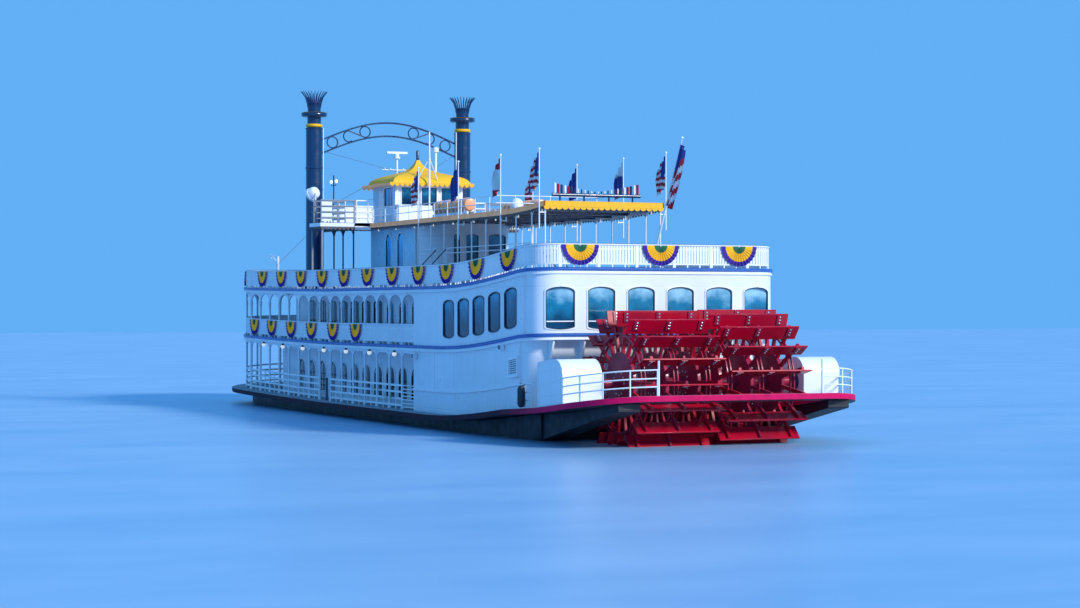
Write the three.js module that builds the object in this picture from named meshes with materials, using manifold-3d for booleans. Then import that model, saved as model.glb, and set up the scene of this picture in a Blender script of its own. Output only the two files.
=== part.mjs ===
import * as THREE from 'three';
import { mergeVertices } from 'three/addons/utils/BufferGeometryUtils.js';
import Module from 'manifold-3d';

// A sternwheel river boat at 1:2 scale. +X runs to the bow, +Y to port and +Z up.
// Sizes below are metres of the full-size boat: x ahead of the saloon's stern wall, y from the
// centreline, z above the water. place() turns them into millimetres of the model, with the origin
// on the hull's flat bottom, under the middle of the boat.

const wasm = await Module();
wasm.setup();

const MODEL_MM = 500;
const GAP = 0.0006;
const MIDDLE = 21.5;
const DRAFT = 1.9;

// Bays: columns, windows and rail posts share one spacing
const BAY = 1.87;
const bayLine = (n) => n * BAY;
const bayCentre = (n) => (n + 0.5) * BAY;

// The decks' rise above their midships height: bay line, rise
const DECK_LINE = [
  [-4, 1.5], [-3, 1.25], [-2, 1.03], [-1, 0.85], [0, 0.73], [1, 0.63], [2, 0.44], [3, 0.27],
  [4, 0.13], [5, 0.04], [6, 0], [15, 0], [19, 0.07], [23, 0.18], [27, 0.38],
].map(([n, rise]) => ({ x: bayLine(n), rise }));

// Decks: top, thickness, half width, where the bow curve starts, and its length
const MAIN = { top: 0.75, thick: 0.25, half: 6.9, bow: 43, reach: 7.5 };
const SALOON = { top: 4.0, thick: 0.28, half: 6.16, bow: 43, reach: 6.6, corner: 1.2 };
const PROMENADE = { top: 6.9, thick: 0.28, half: 6.16, bow: 43, reach: 6.6, corner: 1.2 };
const HURRICANE = { top: 10.58, thick: 0.16 };
const AWNING = { aft: 5.8, fore: 29.7, half: 3.12, skirt: 0.25, lip: 0.06 };
const BRIDGE_DECK = { aft: 29.7, fore: 38.3, half: 4.0 };
const BOW_CHORDS = 8;
const TIP = 0.06;
const THROUGH = 0.03;

// Wheel, its well in the fantail and the housings beside it
const WHEEL = {
  x: -3.27, z: 2.62, radius: 3.15, buckets: 18, inner: 0.1, outer: 4.0, plank: 0.68, board: 0.07,
  arm: 0.15, frame: 0.14, ring: 2.2, ringWidth: 0.15, hub: 1.35, shaft: 0.22,
  turns: { port: -2, starboard: -12 },
};
const WELL = { aft: -6.75, fore: -0.05, half: 4.3 };
const FANTAIL = { aft: -7.5, shoulder: -4, flat: 4.0 };
const HOUSING = { aft: -4.14, fore: -1.55, inner: 4.9, outer: 6.7, height: 1.95, corner: 0.85 };
const SHAFT_END = 5.5;
const BEARING_SLACK = 0.0015;

// Houses
const WALL = 0.1;
const HOUSE_SIDE = 6.1;
const RECESS = 4.9;
const STEP = 14.96;
const MAIN_HOUSE = { stern: 0.6, fore: 40.2, corner: 1.0 };
const SALOON_HOUSE = { stern: 0.02, fore: 37.6, corner: 1.15 };
const TEXAS = { stern: 22.0, fore: 31.0, half: 2.6, corner: 1.7, steps: 5 };
const PILOTHOUSE = { aft: 28.6, fore: 32.2, half: 2.03, eaves: 12.75, overhang: 0.5 };
const PILOT_DOOR = { aft: 30.5, fore: 31.3, low: 10.7, high: 12.5, leaf: 0.07, slack: 0.012 };
const HINGE = { radius: 0.02, reach: 0.07, tall: 0.1, heights: [11.0, 12.2] };

// Columns and rails
const EDGE = 6.05;
const COLUMN = 0.12;
const POST_THICK = 0.09;
const MAIN_RAIL = 1.2;
const RAIL = 1.07;
const BAR = 0.07;
const RAIL_FRAME = { foot: 0.14, top: 0.1, side: 0.1 };
const FAN = { drop: 0.93, thick: 0.05, arcs: 6, ahead: 0.35 };

// Chimneys and the arch between them
const CHIMNEY = {
  x: 35.07, y: 4.63, radius: 0.48, base: 0.6, shoulder: 0.52, neck: 0.4, disc: 0.72, crown: 17.7,
  top: 18.4, flare: 0.76, sides: 10,
};
const ARCH = { end: 14.8, crown: 15.9, depth: 0.78, thick: 0.12, bar: 0.1, rings: 8, bare: [3, 4] };

const RUDDER = { x: 0.3, y: 2.5, ahead: 0.15, astern: 1.3, low: -1.65, high: -0.2, thick: 0.12 };
const RUDDER_STOCK = 0.09;

const WHITE = { color: 0xeef3f8, roughness: 0.45, metalness: 0.0 };
const BLUE = { color: 0x9fc6ee, roughness: 0.45, metalness: 0.0 };
const NAVY = { color: 0x10204a, roughness: 0.4, metalness: 0.1 };
const BLACK = { color: 0x0d1018, roughness: 0.55, metalness: 0.1 };
const RED = { color: 0xb3121f, roughness: 0.4, metalness: 0.1 };
const DECK_GREY = { color: 0x8c959e, roughness: 0.8, metalness: 0.0 };
const YELLOW = { color: 0xf5c21b, roughness: 0.5, metalness: 0.0 };
const ORANGE = { color: 0xe8935a, roughness: 0.5, metalness: 0.0 };
const STEEL = { color: 0x7d8790, roughness: 0.4, metalness: 0.7 };

const boat = new THREE.Group();

// Rise of the deck line at any place along the boat
function rise(x) {
  const last = DECK_LINE.length - 1;
  if (x <= DECK_LINE[0].x) return DECK_LINE[0].rise;
  if (x >= DECK_LINE[last].x) return DECK_LINE[last].rise;
  const i = DECK_LINE.findIndex((knot) => knot.x > x);
  const [a, b] = [DECK_LINE[i - 1], DECK_LINE[i]];
  return a.rise + ((x - a.x) / (b.x - a.x)) * (b.rise - a.rise);
}

// Only positions, with shared corners joined, no empty triangles, and faces that point out
function weld(geometry) {
  geometry.deleteAttribute('normal');
  geometry.deleteAttribute('uv');
  const joined = mergeVertices(geometry, 1e-5);
  const { array } = joined.attributes.position;
  const index = joined.index.array;
  const kept = [];
  let volume = 0;
  for (let i = 0; i < index.length; i += 3) {
    const [a, b, c] = [index[i], index[i + 1], index[i + 2]];
    if (a === b || b === c || c === a) continue;
    kept.push(a, b, c);
    const [p, q, r] = [a, b, c].map((n) => new THREE.Vector3().fromArray(array, n * 3));
    volume += p.dot(q.cross(r));
  }
  if (volume < 0) {
    for (let i = 0; i < kept.length; i += 3) [kept[i], kept[i + 1]] = [kept[i + 1], kept[i]];
  }
  return { vertProperties: new Float32Array(array), triVerts: new Uint32Array(kept) };
}

// A three.js geometry becomes a solid that can be joined and cut; a solid stays as it is
const solid = (shape) => (shape.isBufferGeometry
  ? new wasm.Manifold(new wasm.Mesh({ numProp: 3, ...weld(shape) })) : shape);
const join = (shapes) => shapes.map(solid).reduce((sum, next) => sum.add(next));
const cut = (body, shapes) => shapes.map(solid).reduce((left, next) => left.subtract(next), solid(body));

// The finished geometry in millimetres, or its mirror image for the starboard side
function place(body, sign) {
  const { vertProperties, triVerts } = solid(body).getMesh();
  const geometry = new THREE.BufferGeometry();
  geometry.setAttribute('position', new THREE.BufferAttribute(new Float32Array(vertProperties), 3));
  geometry.setIndex(new THREE.BufferAttribute(new Uint32Array(triVerts), 1));
  if (sign < 0) geometry.index.array.reverse();
  geometry.translate(-MIDDLE, 0, DRAFT);
  geometry.scale(MODEL_MM, sign * MODEL_MM, MODEL_MM);
  return geometry;
}

function part(name, finish, body, sign = 1) {
  const mesh = new THREE.Mesh(place(body, sign), new THREE.MeshStandardMaterial(finish));
  mesh.name = name;
  boat.add(mesh);
}

// A piece for the port side and its mirror image to starboard
function pair(name, finish, body) {
  part(name.replace('SIDE', 'port'), finish, body);
  part(name.replace('SIDE', 'starboard'), finish, body, -1);
}

function box(x0, x1, y0, y1, z0, z1) {
  const geometry = new THREE.BoxGeometry(x1 - x0, y1 - y0, z1 - z0);
  return geometry.translate((x0 + x1) / 2, (y0 + y1) / 2, (z0 + z1) / 2);
}

// A round bar between two points
function bar(from, to, radius, sides = 6, end = radius) {
  const [a, b] = [new THREE.Vector3(...from), new THREE.Vector3(...to)];
  const geometry = new THREE.CylinderGeometry(end, radius, a.distanceTo(b), sides);
  const turn = new THREE.Quaternion().setFromUnitVectors(
    new THREE.Vector3(0, 1, 0), b.clone().sub(a).normalize());
  geometry.applyQuaternion(turn);
  const middle = a.add(b).multiplyScalar(0.5);
  return geometry.translate(middle.x, middle.y, middle.z);
}

// Adds the deck line's rise to a geometry
function lift(geometry, by = (x) => rise(x)) {
  const { position } = geometry.attributes;
  for (let i = 0; i < position.count; i += 1) {
    position.setZ(i, position.getZ(i) + by(position.getX(i), position.getY(i)));
  }
  return geometry;
}

// Raises an upright piece to the deck line at its middle, with its lowest face laid on the slope
function seat(geometry, middle) {
  geometry.computeBoundingBox();
  const foot = geometry.boundingBox.min.z + 1e-4;
  const { position } = geometry.attributes;
  for (let i = 0; i < position.count; i += 1) {
    const z = position.getZ(i);
    position.setZ(i, z + rise(z < foot ? position.getX(i) : middle));
  }
  return geometry;
}

// An outline with a point more wherever an edge passes a bend of the deck line
function bent(points, xOf) {
  return points.flatMap((point, i) => {
    const next = points[(i + 1) % points.length];
    const [x0, x1] = [xOf(point), xOf(next)];
    const shares = DECK_LINE.map(({ x }) => (x - x0) / (x1 - x0)).filter((t) => t > 1e-4 && t < 1 - 1e-4);
    shares.sort((s, t) => s - t);
    const between = shares.map((t) => [
      point[0] + t * (next[0] - point[0]), point[1] + t * (next[1] - point[1])]);
    return [point, ...between];
  });
}

const asVectors = (points) => points.map(([a, b]) => new THREE.Vector2(a, b));

// A flat solid that stands on a line in plan. Its outline is given by distance along the line and
// height. left and right are its faces' places beside the line, as seen along it.
function upright({ start, end, outline, left, right }) {
  const along = new THREE.Vector2(...end).sub(new THREE.Vector2(...start)).normalize();
  const xAt = (s) => start[0] + s * along.x;
  const lifted = bent(outline, ([s]) => xAt(s)).map(([s, z]) => [s, z + rise(xAt(s))]);
  const shape = new THREE.Shape(asVectors(lifted));
  const geometry = new THREE.ExtrudeGeometry(shape, { depth: left - right, bevelEnabled: false });
  geometry.applyMatrix4(new THREE.Matrix4().makeBasis(
    new THREE.Vector3(along.x, along.y, 0), new THREE.Vector3(0, 0, 1),
    new THREE.Vector3(along.y, -along.x, 0)));
  geometry.translate(start[0] - left * along.y, start[1] + left * along.x, 0);
  return lift(geometry, (x, y) => {
    const s = (x - start[0]) * along.x + (y - start[1]) * along.y;
    return rise(x) - rise(xAt(s));
  });
}

const lengthOf = (start, end) => Math.hypot(end[0] - start[0], end[1] - start[1]);
const board = (s0, s1, z0, z1) => [[s0, z0], [s1, z0], [s1, z1], [s0, z1]];

// A window, door or rail gap, with a curved head and a curved foot where they are given
function opening({ at, width, low, high, crown = 0, foot = 0, steps = 3 }) {
  const half = width / 2;
  const arc = (rise0, height, from) => Array.from({ length: steps + 1 }, (_, i) => {
    const angle = ((from + i / steps) * Math.PI);
    return [at + half * Math.cos(angle), height + rise0 * Math.sin(angle)];
  });
  const head = crown ? arc(crown, high - crown, 0) : [[at + half, high], [at - half, high]];
  const sill = foot ? arc(foot, low + foot, 1) : [[at - half, low], [at + half, low]];
  return [...head, ...sill];
}

// A straight panel between two points in plan, with openings
function panel({ start, end, low, high, left, right, openings = [] }) {
  const whole = upright({ start, end, left, right, outline: board(0, lengthOf(start, end), low, high) });
  const through = { start, end, left: left + THROUGH, right: right - THROUGH };
  return cut(whole, openings.map((gap) => upright({ ...through, outline: opening(gap) })));
}

// A slab from an outline in plan
function slab(points, low, high) {
  const shape = new THREE.Shape(asVectors(bent(points, ([x]) => x)));
  const geometry = new THREE.ExtrudeGeometry(shape, { depth: high - low, bevelEnabled: false });
  return lift(geometry.translate(0, 0, low));
}

// A deck strip between two edges, with a row of points at each of the given places
function strip({ xs, port, starboard, top, thick }) {
  const geometry = new THREE.BoxGeometry(1, 1, 1, xs.length - 1, 1, 1);
  const { position } = geometry.attributes;
  for (let i = 0; i < position.count; i += 1) {
    const x = xs[Math.round((position.getX(i) + 0.5) * (xs.length - 1))];
    const y = position.getY(i) > 0 ? port(x) : starboard(x);
    position.setXYZ(i, x, y, (position.getZ(i) > 0 ? top : top - thick) + rise(x));
  }
  return geometry;
}

// Places between two ends, with the deck line's bends among them
function places(from, to, extra = []) {
  const near = 0.03;
  const all = [...extra, ...DECK_LINE.map(({ x }) => x)];
  const between = all.filter((x) => x > from + near && x < to - near);
  between.sort((a, b) => a - b);
  return [from, ...between.filter((x, i) => i === 0 || x - between[i - 1] > near), to];
}

// Half width of a deck with a quarter ellipse at its bow and a rounded corner at its stern
function halfWidth(deck, x) {
  if (x > deck.bow) {
    const share = Math.min(1, (x - deck.bow) / deck.reach);
    return Math.max(TIP, deck.half * Math.sqrt(1 - share ** 2));
  }
  if (deck.corner && x < deck.corner) {
    return deck.half - deck.corner + Math.sqrt(Math.max(0, deck.corner ** 2 - (deck.corner - x) ** 2));
  }
  return deck.half;
}

const arcPlaces = (start, reach, count) => Array.from({ length: count + 1 },
  (_, i) => start + reach * Math.sin((i / count) * Math.PI / 2));

function deckPlate(deck, from) {
  const corner = deck.corner ?? 0;
  const stern = Array.from({ length: 5 }, (_, i) => corner * (1 - Math.cos((i / 4) * Math.PI / 2)));
  const xs = places(from, deck.bow + deck.reach, [...arcPlaces(deck.bow, deck.reach, 10), ...stern]);
  return strip({
    xs, top: deck.top, thick: deck.thick,
    port: (x) => halfWidth(deck, x), starboard: (x) => -halfWidth(deck, x),
  });
}

// A closed skin over rings of points, the first and last ring closed flat
function loft(rings) {
  const count = rings[0].length;
  const index = [];
  for (let r = 0; r < rings.length - 1; r += 1) {
    for (let i = 0; i < count; i += 1) {
      const [a, b] = [r * count + i, r * count + ((i + 1) % count)];
      index.push(a, b, b + count, a, b + count, a + count);
    }
  }
  const last = (rings.length - 1) * count;
  for (let i = 1; i < count - 1; i += 1) index.push(0, i + 1, i, last, last + i, last + i + 1);
  const geometry = new THREE.BufferGeometry();
  geometry.setAttribute('position', new THREE.Float32BufferAttribute(rings.flat(2), 3));
  geometry.setIndex(index);
  return geometry;
}

const lathe = (profile, sides) => new THREE.LatheGeometry(asVectors(profile), sides).rotateX(Math.PI / 2);

// Hull: flat bottom, chined bilge, raked stern and a spoon bow
function hull() {
  const [transom, flatFrom, flatTo, stem] = [0.6, 6.5, 43, 49.6];
  const [side, bottomSide, bilge] = [5.6, 5.1, 0.5];
  const sternFloor = -0.15;
  const bowFloor = -0.1;
  const bowShare = (x) => Math.max(0, (x - flatTo) / (stem - flatTo));
  const floor = (x) => {
    if (x > flatFrom) return -DRAFT + (bowFloor + DRAFT) * bowShare(x) ** 2.2;
    const share = (x - transom) / (flatFrom - transom);
    return sternFloor - (DRAFT + sternFloor) * Math.sin(share * Math.PI / 2);
  };
  const narrow = (x) => Math.sqrt(Math.max(0.0004, 1 - bowShare(x) ** 2));
  const xs = places(transom, stem, [2.6, 4.6, flatFrom, ...arcPlaces(flatTo, stem - flatTo, 7)]);
  return loft(xs.map((x) => {
    const [wide, low, top] = [narrow(x), floor(x), MAIN.top - MAIN.thick - GAP + rise(x)];
    const [b, s] = [bottomSide * wide, side * wide];
    return [[b, low], [s, low + bilge], [s, top], [-s, top], [-s, low + bilge], [-b, low]]
      .map(([y, z]) => [x, y, z]);
  }));
}

// Outer edge of the main deck at the fantail, where a quarter ellipse rounds each corner
const fantailEdge = (x) => {
  if (x > FANTAIL.shoulder) return MAIN.half;
  const share = (FANTAIL.shoulder - x) / (FANTAIL.shoulder - FANTAIL.aft);
  return FANTAIL.flat + (MAIN.half - FANTAIL.flat) * Math.sqrt(Math.max(0, 1 - share ** 2));
};

function mainDeck() {
  const level = { top: MAIN.top, thick: MAIN.thick };
  const curve = arcPlaces(0, FANTAIL.shoulder - FANTAIL.aft, 8).map((d) => FANTAIL.shoulder - d);
  const beside = places(WELL.aft, WELL.fore, curve);
  const astern = places(FANTAIL.aft, WELL.aft, curve);
  const ahead = places(WELL.fore, MAIN.bow + MAIN.reach, arcPlaces(MAIN.bow, MAIN.reach, 10));
  const half = (x) => (x > MAIN.bow ? halfWidth(MAIN, x) : MAIN.half);
  return join([
    strip({ xs: ahead, port: half, starboard: (x) => -half(x), ...level }),
    strip({ xs: beside, port: fantailEdge, starboard: () => WELL.half, ...level }),
    strip({ xs: beside, port: () => -WELL.half, starboard: (x) => -fantailEdge(x), ...level }),
    strip({ xs: astern, port: fantailEdge, starboard: (x) => -fantailEdge(x), ...level }),
  ]);
}

// A pair of mooring bitts on the fore deck, on one plate
const BITTS = {
  x: 45.6, y: 2.2, length: 1.3, width: 0.4, plate: 0.12, spread: 0.4, tall: 0.65, radius: 0.14,
};
function bitts(y) {
  const { x, length, width, plate, spread, tall, radius } = BITTS;
  const low = MAIN.top - 0.02;
  const [long, wide] = [length / 2, width / 2];
  const base = lift(box(x - long, x + long, y - wide, y + wide, low, low + plate + 0.02));
  const posts = [-spread, spread].map((dx) => bar(
    [x + dx, y, low + plate / 2 + rise(x + dx)], [x + dx, y, low + tall + rise(x)], radius, 10));
  return join([base, ...posts]);
}
part('main_deck', RED, join([mainDeck(), bitts(BITTS.y), bitts(-BITTS.y)]));

// Beams that carry the fantail beside the wheel, deep at the hull and shallow at their ends
function fantailBeam(side) {
  const [aft, fore, inner, outer] = [-6.9, 0.7, 4.45, 5.5];
  const under = MAIN.top - MAIN.thick - GAP;
  return upright({
    start: [aft, inner * side], end: [fore, inner * side],
    left: Math.max(0, (outer - inner) * side), right: Math.min(0, (outer - inner) * side),
    outline: [[0, under - 0.35], [fore - aft, under - 1.15], [fore - aft, under], [0, under]],
  });
}
part('hull', BLACK, join([hull(), fantailBeam(1), fantailBeam(-1)]));

part('saloon_deck', DECK_GREY, deckPlate(SALOON, 0));
part('promenade_deck', DECK_GREY, deckPlate(PROMENADE, 0));

// Awning roof aft with a skirt round its edge, and the wider deck round the pilothouse
function hurricaneDeck() {
  const { top, thick } = HURRICANE;
  const wide = (half) => ({ port: () => half, starboard: () => -half, top, thick });
  const skirt = (start, end) => panel({
    start, end, low: top - thick - AWNING.skirt, high: top - 0.01, left: 0, right: -AWNING.lip });
  const { aft, fore, half } = AWNING;
  return join([
    strip({ xs: places(aft, fore), ...wide(half) }),
    strip({ xs: places(fore, BRIDGE_DECK.fore), ...wide(BRIDGE_DECK.half) }),
    skirt([aft, half], [fore, half]),
    skirt([fore, -half], [aft, -half]),
    skirt([aft, -half], [aft, half]),
  ]);
}
part('hurricane_deck', WHITE, hurricaneDeck());

// Wall round the aft end of a house, as a thin slab in plan with two rounded corners
function sternWall({ stern, corner, half = HOUSE_SIDE, steps = 4 }, low, high) {
  const quarter = (radius) => Array.from({ length: steps + 1 }, (_, i) => {
    const angle = (i / steps) * Math.PI / 2;
    return [stern + corner - radius * Math.sin(angle), half - corner + radius * Math.cos(angle)];
  });
  const across = (points) => [...points].reverse().map(([x, y]) => [x, -y]);
  const [outer, inner] = [quarter(corner), quarter(corner - WALL)];
  const outside = [...outer, ...across(outer)];
  const inside = [...inner, ...across(inner)];
  return slab([...outside, ...inside.reverse()], low, high);
}

// A window cutter through a wall across the boat
function crossWindow(x, y, window) {
  const { width } = window;
  return upright({
    start: [x, y - width], end: [x, y + width], left: 1, right: -1,
    outline: opening({ at: width, ...window }),
  });
}

// Windows: width, sill and head heights, and how far the head curves
const BIG_WINDOW = { width: 1.3, low: 4.4, high: 6.19, crown: 0.22, foot: 0.18 };
const STERN_PITCH = 1.96;
const STERN_WINDOW = { width: 1.33, low: 4.18, high: 6.05, crown: 0.22, foot: 0.12 };
const MAIN_WINDOW = { width: 1.25, low: 1.15, high: 2.8, crown: 0.5 };
const SALOON_WINDOW = { width: 1.05, low: 4.5, high: 6.2, crown: 0.35 };
const SALOON_GLAZING = { width: 1.45, low: 4.3, high: 6.25, crown: 0.15 };
const GLAZED_FROM = 12;
const STORE_WINDOW = { at: 2.4, width: 0.9, low: 2.3, high: 2.97 };
const TEXAS_AFT = [[-1.45, 1.2], [0.08, 0.7], [0.97, 0.35]];
const TEXAS_GLAZING = { low: 8.1, high: 9.8, crown: 0.12 };
const TEXAS_ARCH = { width: 0.95, low: 8.1, high: 9.95, crown: 0.45 };

// Side wall of a house: flush with the deck's edge aft, stepped in forward
function houseSide({ house, low, high, aft, forward }) {
  const [flush, back] = [HOUSE_SIDE, RECESS];
  const start = house.stern + house.corner + GAP;
  return [
    panel({ start: [start, flush], end: [STEP, flush], low, high, left: 0, right: -WALL,
      openings: aft.map((window) => ({ ...window, at: window.at - start })) }),
    panel({
      start: [STEP - WALL, back - WALL], end: [STEP - WALL, flush], low, high, left: 0, right: -WALL }),
    panel({ start: [STEP - WALL, back], end: [house.fore, back], low, high, left: 0, right: -WALL,
      openings: forward.map((window) => ({ ...window, at: window.at - STEP + WALL })) }),
  ];
}

const bays = (from, to) => Array.from({ length: to - from }, (_, i) => from + i);

const mainLow = MAIN.top + GAP;
const mainHigh = SALOON.top - SALOON.thick - GAP;
const saloonLow = SALOON.top + GAP;
const saloonHigh = PROMENADE.top - PROMENADE.thick - GAP;
const texasLow = PROMENADE.top + GAP;
const texasHigh = HURRICANE.top - HURRICANE.thick - GAP;

pair('main_house_SIDE_wall', WHITE, join(houseSide({
  house: MAIN_HOUSE, low: mainLow, high: mainHigh,
  aft: [STORE_WINDOW],
  forward: bays(8, 20).map((n) => ({ at: bayCentre(n), ...MAIN_WINDOW })),
})));
pair('saloon_SIDE_wall', WHITE, join(houseSide({
  house: SALOON_HOUSE, low: saloonLow, high: saloonHigh,
  aft: bays(1, 6).map((n) => ({ at: bayCentre(n), ...BIG_WINDOW })),
  forward: bays(8, 19).map((n) => ({
    at: bayCentre(n), ...(n < GLAZED_FROM ? SALOON_WINDOW : SALOON_GLAZING) })),
})));

part('main_house_stern_wall', WHITE, sternWall(MAIN_HOUSE, mainLow, mainHigh));
part('saloon_stern_wall', WHITE, cut(sternWall(SALOON_HOUSE, saloonLow, saloonHigh),
  [-2.5, -1.5, -0.5, 0.5, 1.5, 2.5].map((n) => crossWindow(
    SALOON_HOUSE.stern, n * STERN_PITCH, STERN_WINDOW))));

// Front walls, which stand between the side walls
function frontWall(house, low, high, openings) {
  const half = RECESS - WALL - GAP;
  return panel({ start: [house.fore, -half], end: [house.fore, half], low, high, left: WALL, right: 0,
    openings: openings.map((window) => ({ ...window, at: window.at + half })) });
}
const DOORWAY = { width: 1.6, sill: 0.08, crown: 0.3 };
const BESIDE_DOOR = 3.2;
const doorIn = (deck, high) => ({ at: 0, ...DOORWAY, low: deck.top + DOORWAY.sill, high });
const beside = (window) => [-BESIDE_DOOR, BESIDE_DOOR].map((at) => ({ at, ...window }));
part('main_house_front_wall', WHITE, frontWall(
  MAIN_HOUSE, mainLow, mainHigh, [doorIn(MAIN, 3.0), ...beside(MAIN_WINDOW)]));
part('saloon_front_wall', WHITE, frontWall(
  SALOON_HOUSE, saloonLow, saloonHigh, [doorIn(SALOON, 6.2), ...beside(SALOON_WINDOW)]));

// Texas: a narrow house on the promenade deck with a round aft end
function texasSide(side) {
  const start = TEXAS.stern + TEXAS.corner + GAP;
  const y = TEXAS.half * side;
  const arched = [14, 15].map((n) => ({ at: bayLine(n), ...TEXAS_ARCH }));
  return panel({
    start: [start, y], end: [TEXAS.fore, y], low: texasLow, high: texasHigh,
    left: side > 0 ? 0 : WALL, right: side > 0 ? -WALL : 0,
    openings: arched.map((window) => ({ ...window, at: window.at - start })),
  });
}
part('texas_aft_wall', WHITE, cut(sternWall(TEXAS, texasLow, texasHigh - 0.008),
  TEXAS_AFT.map(([y, width]) => crossWindow(TEXAS.stern, y, { width, ...TEXAS_GLAZING }))));

function texasFrontWall() {
  const half = TEXAS.half - WALL / 2;
  return panel({ start: [TEXAS.fore, -half], end: [TEXAS.fore, half], low: texasLow, high: texasHigh,
    left: WALL, right: 0, openings: [{ at: half, width: 1.1, low: 6.98, high: 9.3 }] });
}
part('texas_walls', BLUE, join([texasSide(1), texasSide(-1), texasFrontWall()]));

// Hinge knuckles over the door's edge: towards = 1 for the leaf's own, and -1 for those on the wall
function knuckles(side, towards) {
  const { radius, reach, tall, heights } = HINGE;
  const x = PILOT_DOOR.aft + PILOT_DOOR.slack / 2;
  const y = side * (PILOTHOUSE.half + radius);
  const inner = side * (PILOTHOUSE.half - 0.02);
  return heights.flatMap((height) => {
    const low = height + rise(x) + (towards > 0 ? GAP : -tall);
    const [x0, x1] = [Math.min(x, x + towards * reach), Math.max(x, x + towards * reach)];
    return [
      bar([x, y, low], [x, y, low + tall], radius, 8),
      box(x0, x1, Math.min(inner, y), Math.max(inner, y), low, low + tall),
    ];
  });
}

// Pilothouse: four walls with a window band, a door in each side and a bell-shaped roof
const pilotLow = HURRICANE.top + GAP;
const WINDOW_BAND = { low: 11.6, high: 12.6 };
function pilothouseWalls() {
  const { aft, fore, half, eaves } = PILOTHOUSE;
  const sides = { low: pilotLow, high: eaves, left: 0, right: -WALL };
  const acrossWindows = [-1.2, 0, 1.2].map((y) => ({ at: y + half, width: 0.9, ...WINDOW_BAND }));
  const sideWindow = { at: 1.0, width: 1.4, ...WINDOW_BAND };
  const [hinged, latched] = [PILOT_DOOR.aft - aft, PILOT_DOOR.fore - aft];
  const { low, high } = PILOT_DOOR;
  const door = { at: (hinged + latched) / 2, width: latched - hinged, low, high };
  const fromFore = (gap) => ({ ...gap, at: fore - aft - gap.at });
  return join([
    panel({ start: [aft, half], end: [fore, half], ...sides, openings: [sideWindow, door] }),
    panel({
      start: [fore, -half], end: [aft, -half], ...sides, openings: [sideWindow, door].map(fromFore) }),
    panel({ start: [aft, -half], end: [aft, half], ...sides, openings: acrossWindows }),
    panel({ start: [fore, half], end: [fore, -half], ...sides, openings: acrossWindows }),
    ...knuckles(1, -1), ...knuckles(-1, -1),
  ]);
}
part('pilothouse_walls', BLUE, pilothouseWalls());

function pilotDoor() {
  const { aft, fore, low, high, leaf, slack } = PILOT_DOOR;
  const panelled = upright({
    start: [aft, PILOTHOUSE.half], end: [fore, PILOTHOUSE.half], left: 0, right: -leaf,
    outline: board(slack, fore - aft - slack, low + slack, high - slack),
  });
  return join([panelled, ...knuckles(1, 1)]);
}
pair('pilothouse_door_SIDE', WHITE, pilotDoor());

// Roof rings: height above the eaves, share of the eave's reach
const ROOF_RINGS = [
  [0, 0.86], [0, 1], [0.14, 1], [0.4, 0.91], [0.62, 0.76], [0.75, 0.6], [0.85, 0.42], [1.0, 0.26],
  [1.22, 0.13], [1.5, 0.045],
];
const FINIAL = { low: 1.2, high: 2.05, radius: 0.09 };
function pilothouseRoof() {
  const { aft, fore, half, eaves, overhang } = PILOTHOUSE;
  const middle = (aft + fore) / 2;
  const [alongHalf, acrossHalf] = [(fore - aft) / 2 + overhang, half + overhang];
  const shell = loft(ROOF_RINGS.map(([height, share]) => (
    [[1, 1], [-1, 1], [-1, -1], [1, -1]].map(([i, j]) => (
      [middle + i * alongHalf * share, j * acrossHalf * share, eaves + GAP + height])))));
  const [low, high] = [FINIAL.low, FINIAL.high].map((above) => eaves + above + rise(middle));
  const finial = bar([middle, 0, low], [middle, 0, high], FINIAL.radius, 8);
  return join([finial, lift(shell)]);
}
part('pilothouse_roof', YELLOW, pilothouseRoof());

// Openings of one bay: an arched one over the rail and slots or a gate in the rail
function bayOpenings(at, pitch, { deck, head, crown = 0, rail, slots, bars = 0, gate = false }) {
  const width = pitch - COLUMN;
  const over = (low) => ({ at, width, low, high: head, crown });
  if (gate) return [over(deck + BAR)];
  const gaps = Array.from({ length: slots }, (_, i) => ({
    at: at + ((i + 0.5) / slots - 0.5) * width, width: width / slots - RAIL_FRAME.side,
    low: deck + RAIL_FRAME.foot, high: deck + rail - RAIL_FRAME.top }));
  const step = rail / (bars + 1);
  const rows = Array.from({ length: bars + 1 }, (_, i) => ({
    at, width, low: deck + i * step + BAR / 2, high: deck + (i + 1) * step - BAR / 2 }));
  return [...(head ? [over(deck + rail)] : []), ...(slots ? gaps : []), ...(bars ? rows : [])];
}

// A half-round pleated fan hung on the outside of a rail
const FAN_HALF = BAY / 2 - 0.02;
function fan(start, end, at, top) {
  const arc = Array.from({ length: FAN.arcs + 1 }, (_, i) => {
    const angle = Math.PI + (i / FAN.arcs) * Math.PI;
    return [at + FAN_HALF * Math.cos(angle), top + FAN.drop * Math.sin(angle)];
  });
  return upright({ start, end, outline: arc, left: FAN.thick, right: -0.01 });
}

// Straight run of columns and rail on the port side, from one bay line to another
function sideRun({ from, to, y, low, high, plan, fans = [], gates = [], thick = POST_THICK }) {
  const start = [bayLine(from) + GAP, y];
  const end = [bayLine(to) + COLUMN / 2, y];
  const openings = bays(from, to).flatMap((n) => {
    const slots = fans.includes(n) ? 0 : plan.slots;
    return bayOpenings(bayCentre(n) - start[0], BAY, { ...plan, slots, gate: gates.includes(n) });
  });
  const run = panel({ start, end, low, high, left: 0, right: -thick, openings });
  const fanAt = (n) => Math.min(bayCentre(n) + FAN.ahead - start[0], lengthOf(start, end) - FAN_HALF);
  const hung = fans.map((n) => fan(start, end, fanAt(n), plan.deck + plan.rail));
  return join([run, ...hung]);
}

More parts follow.
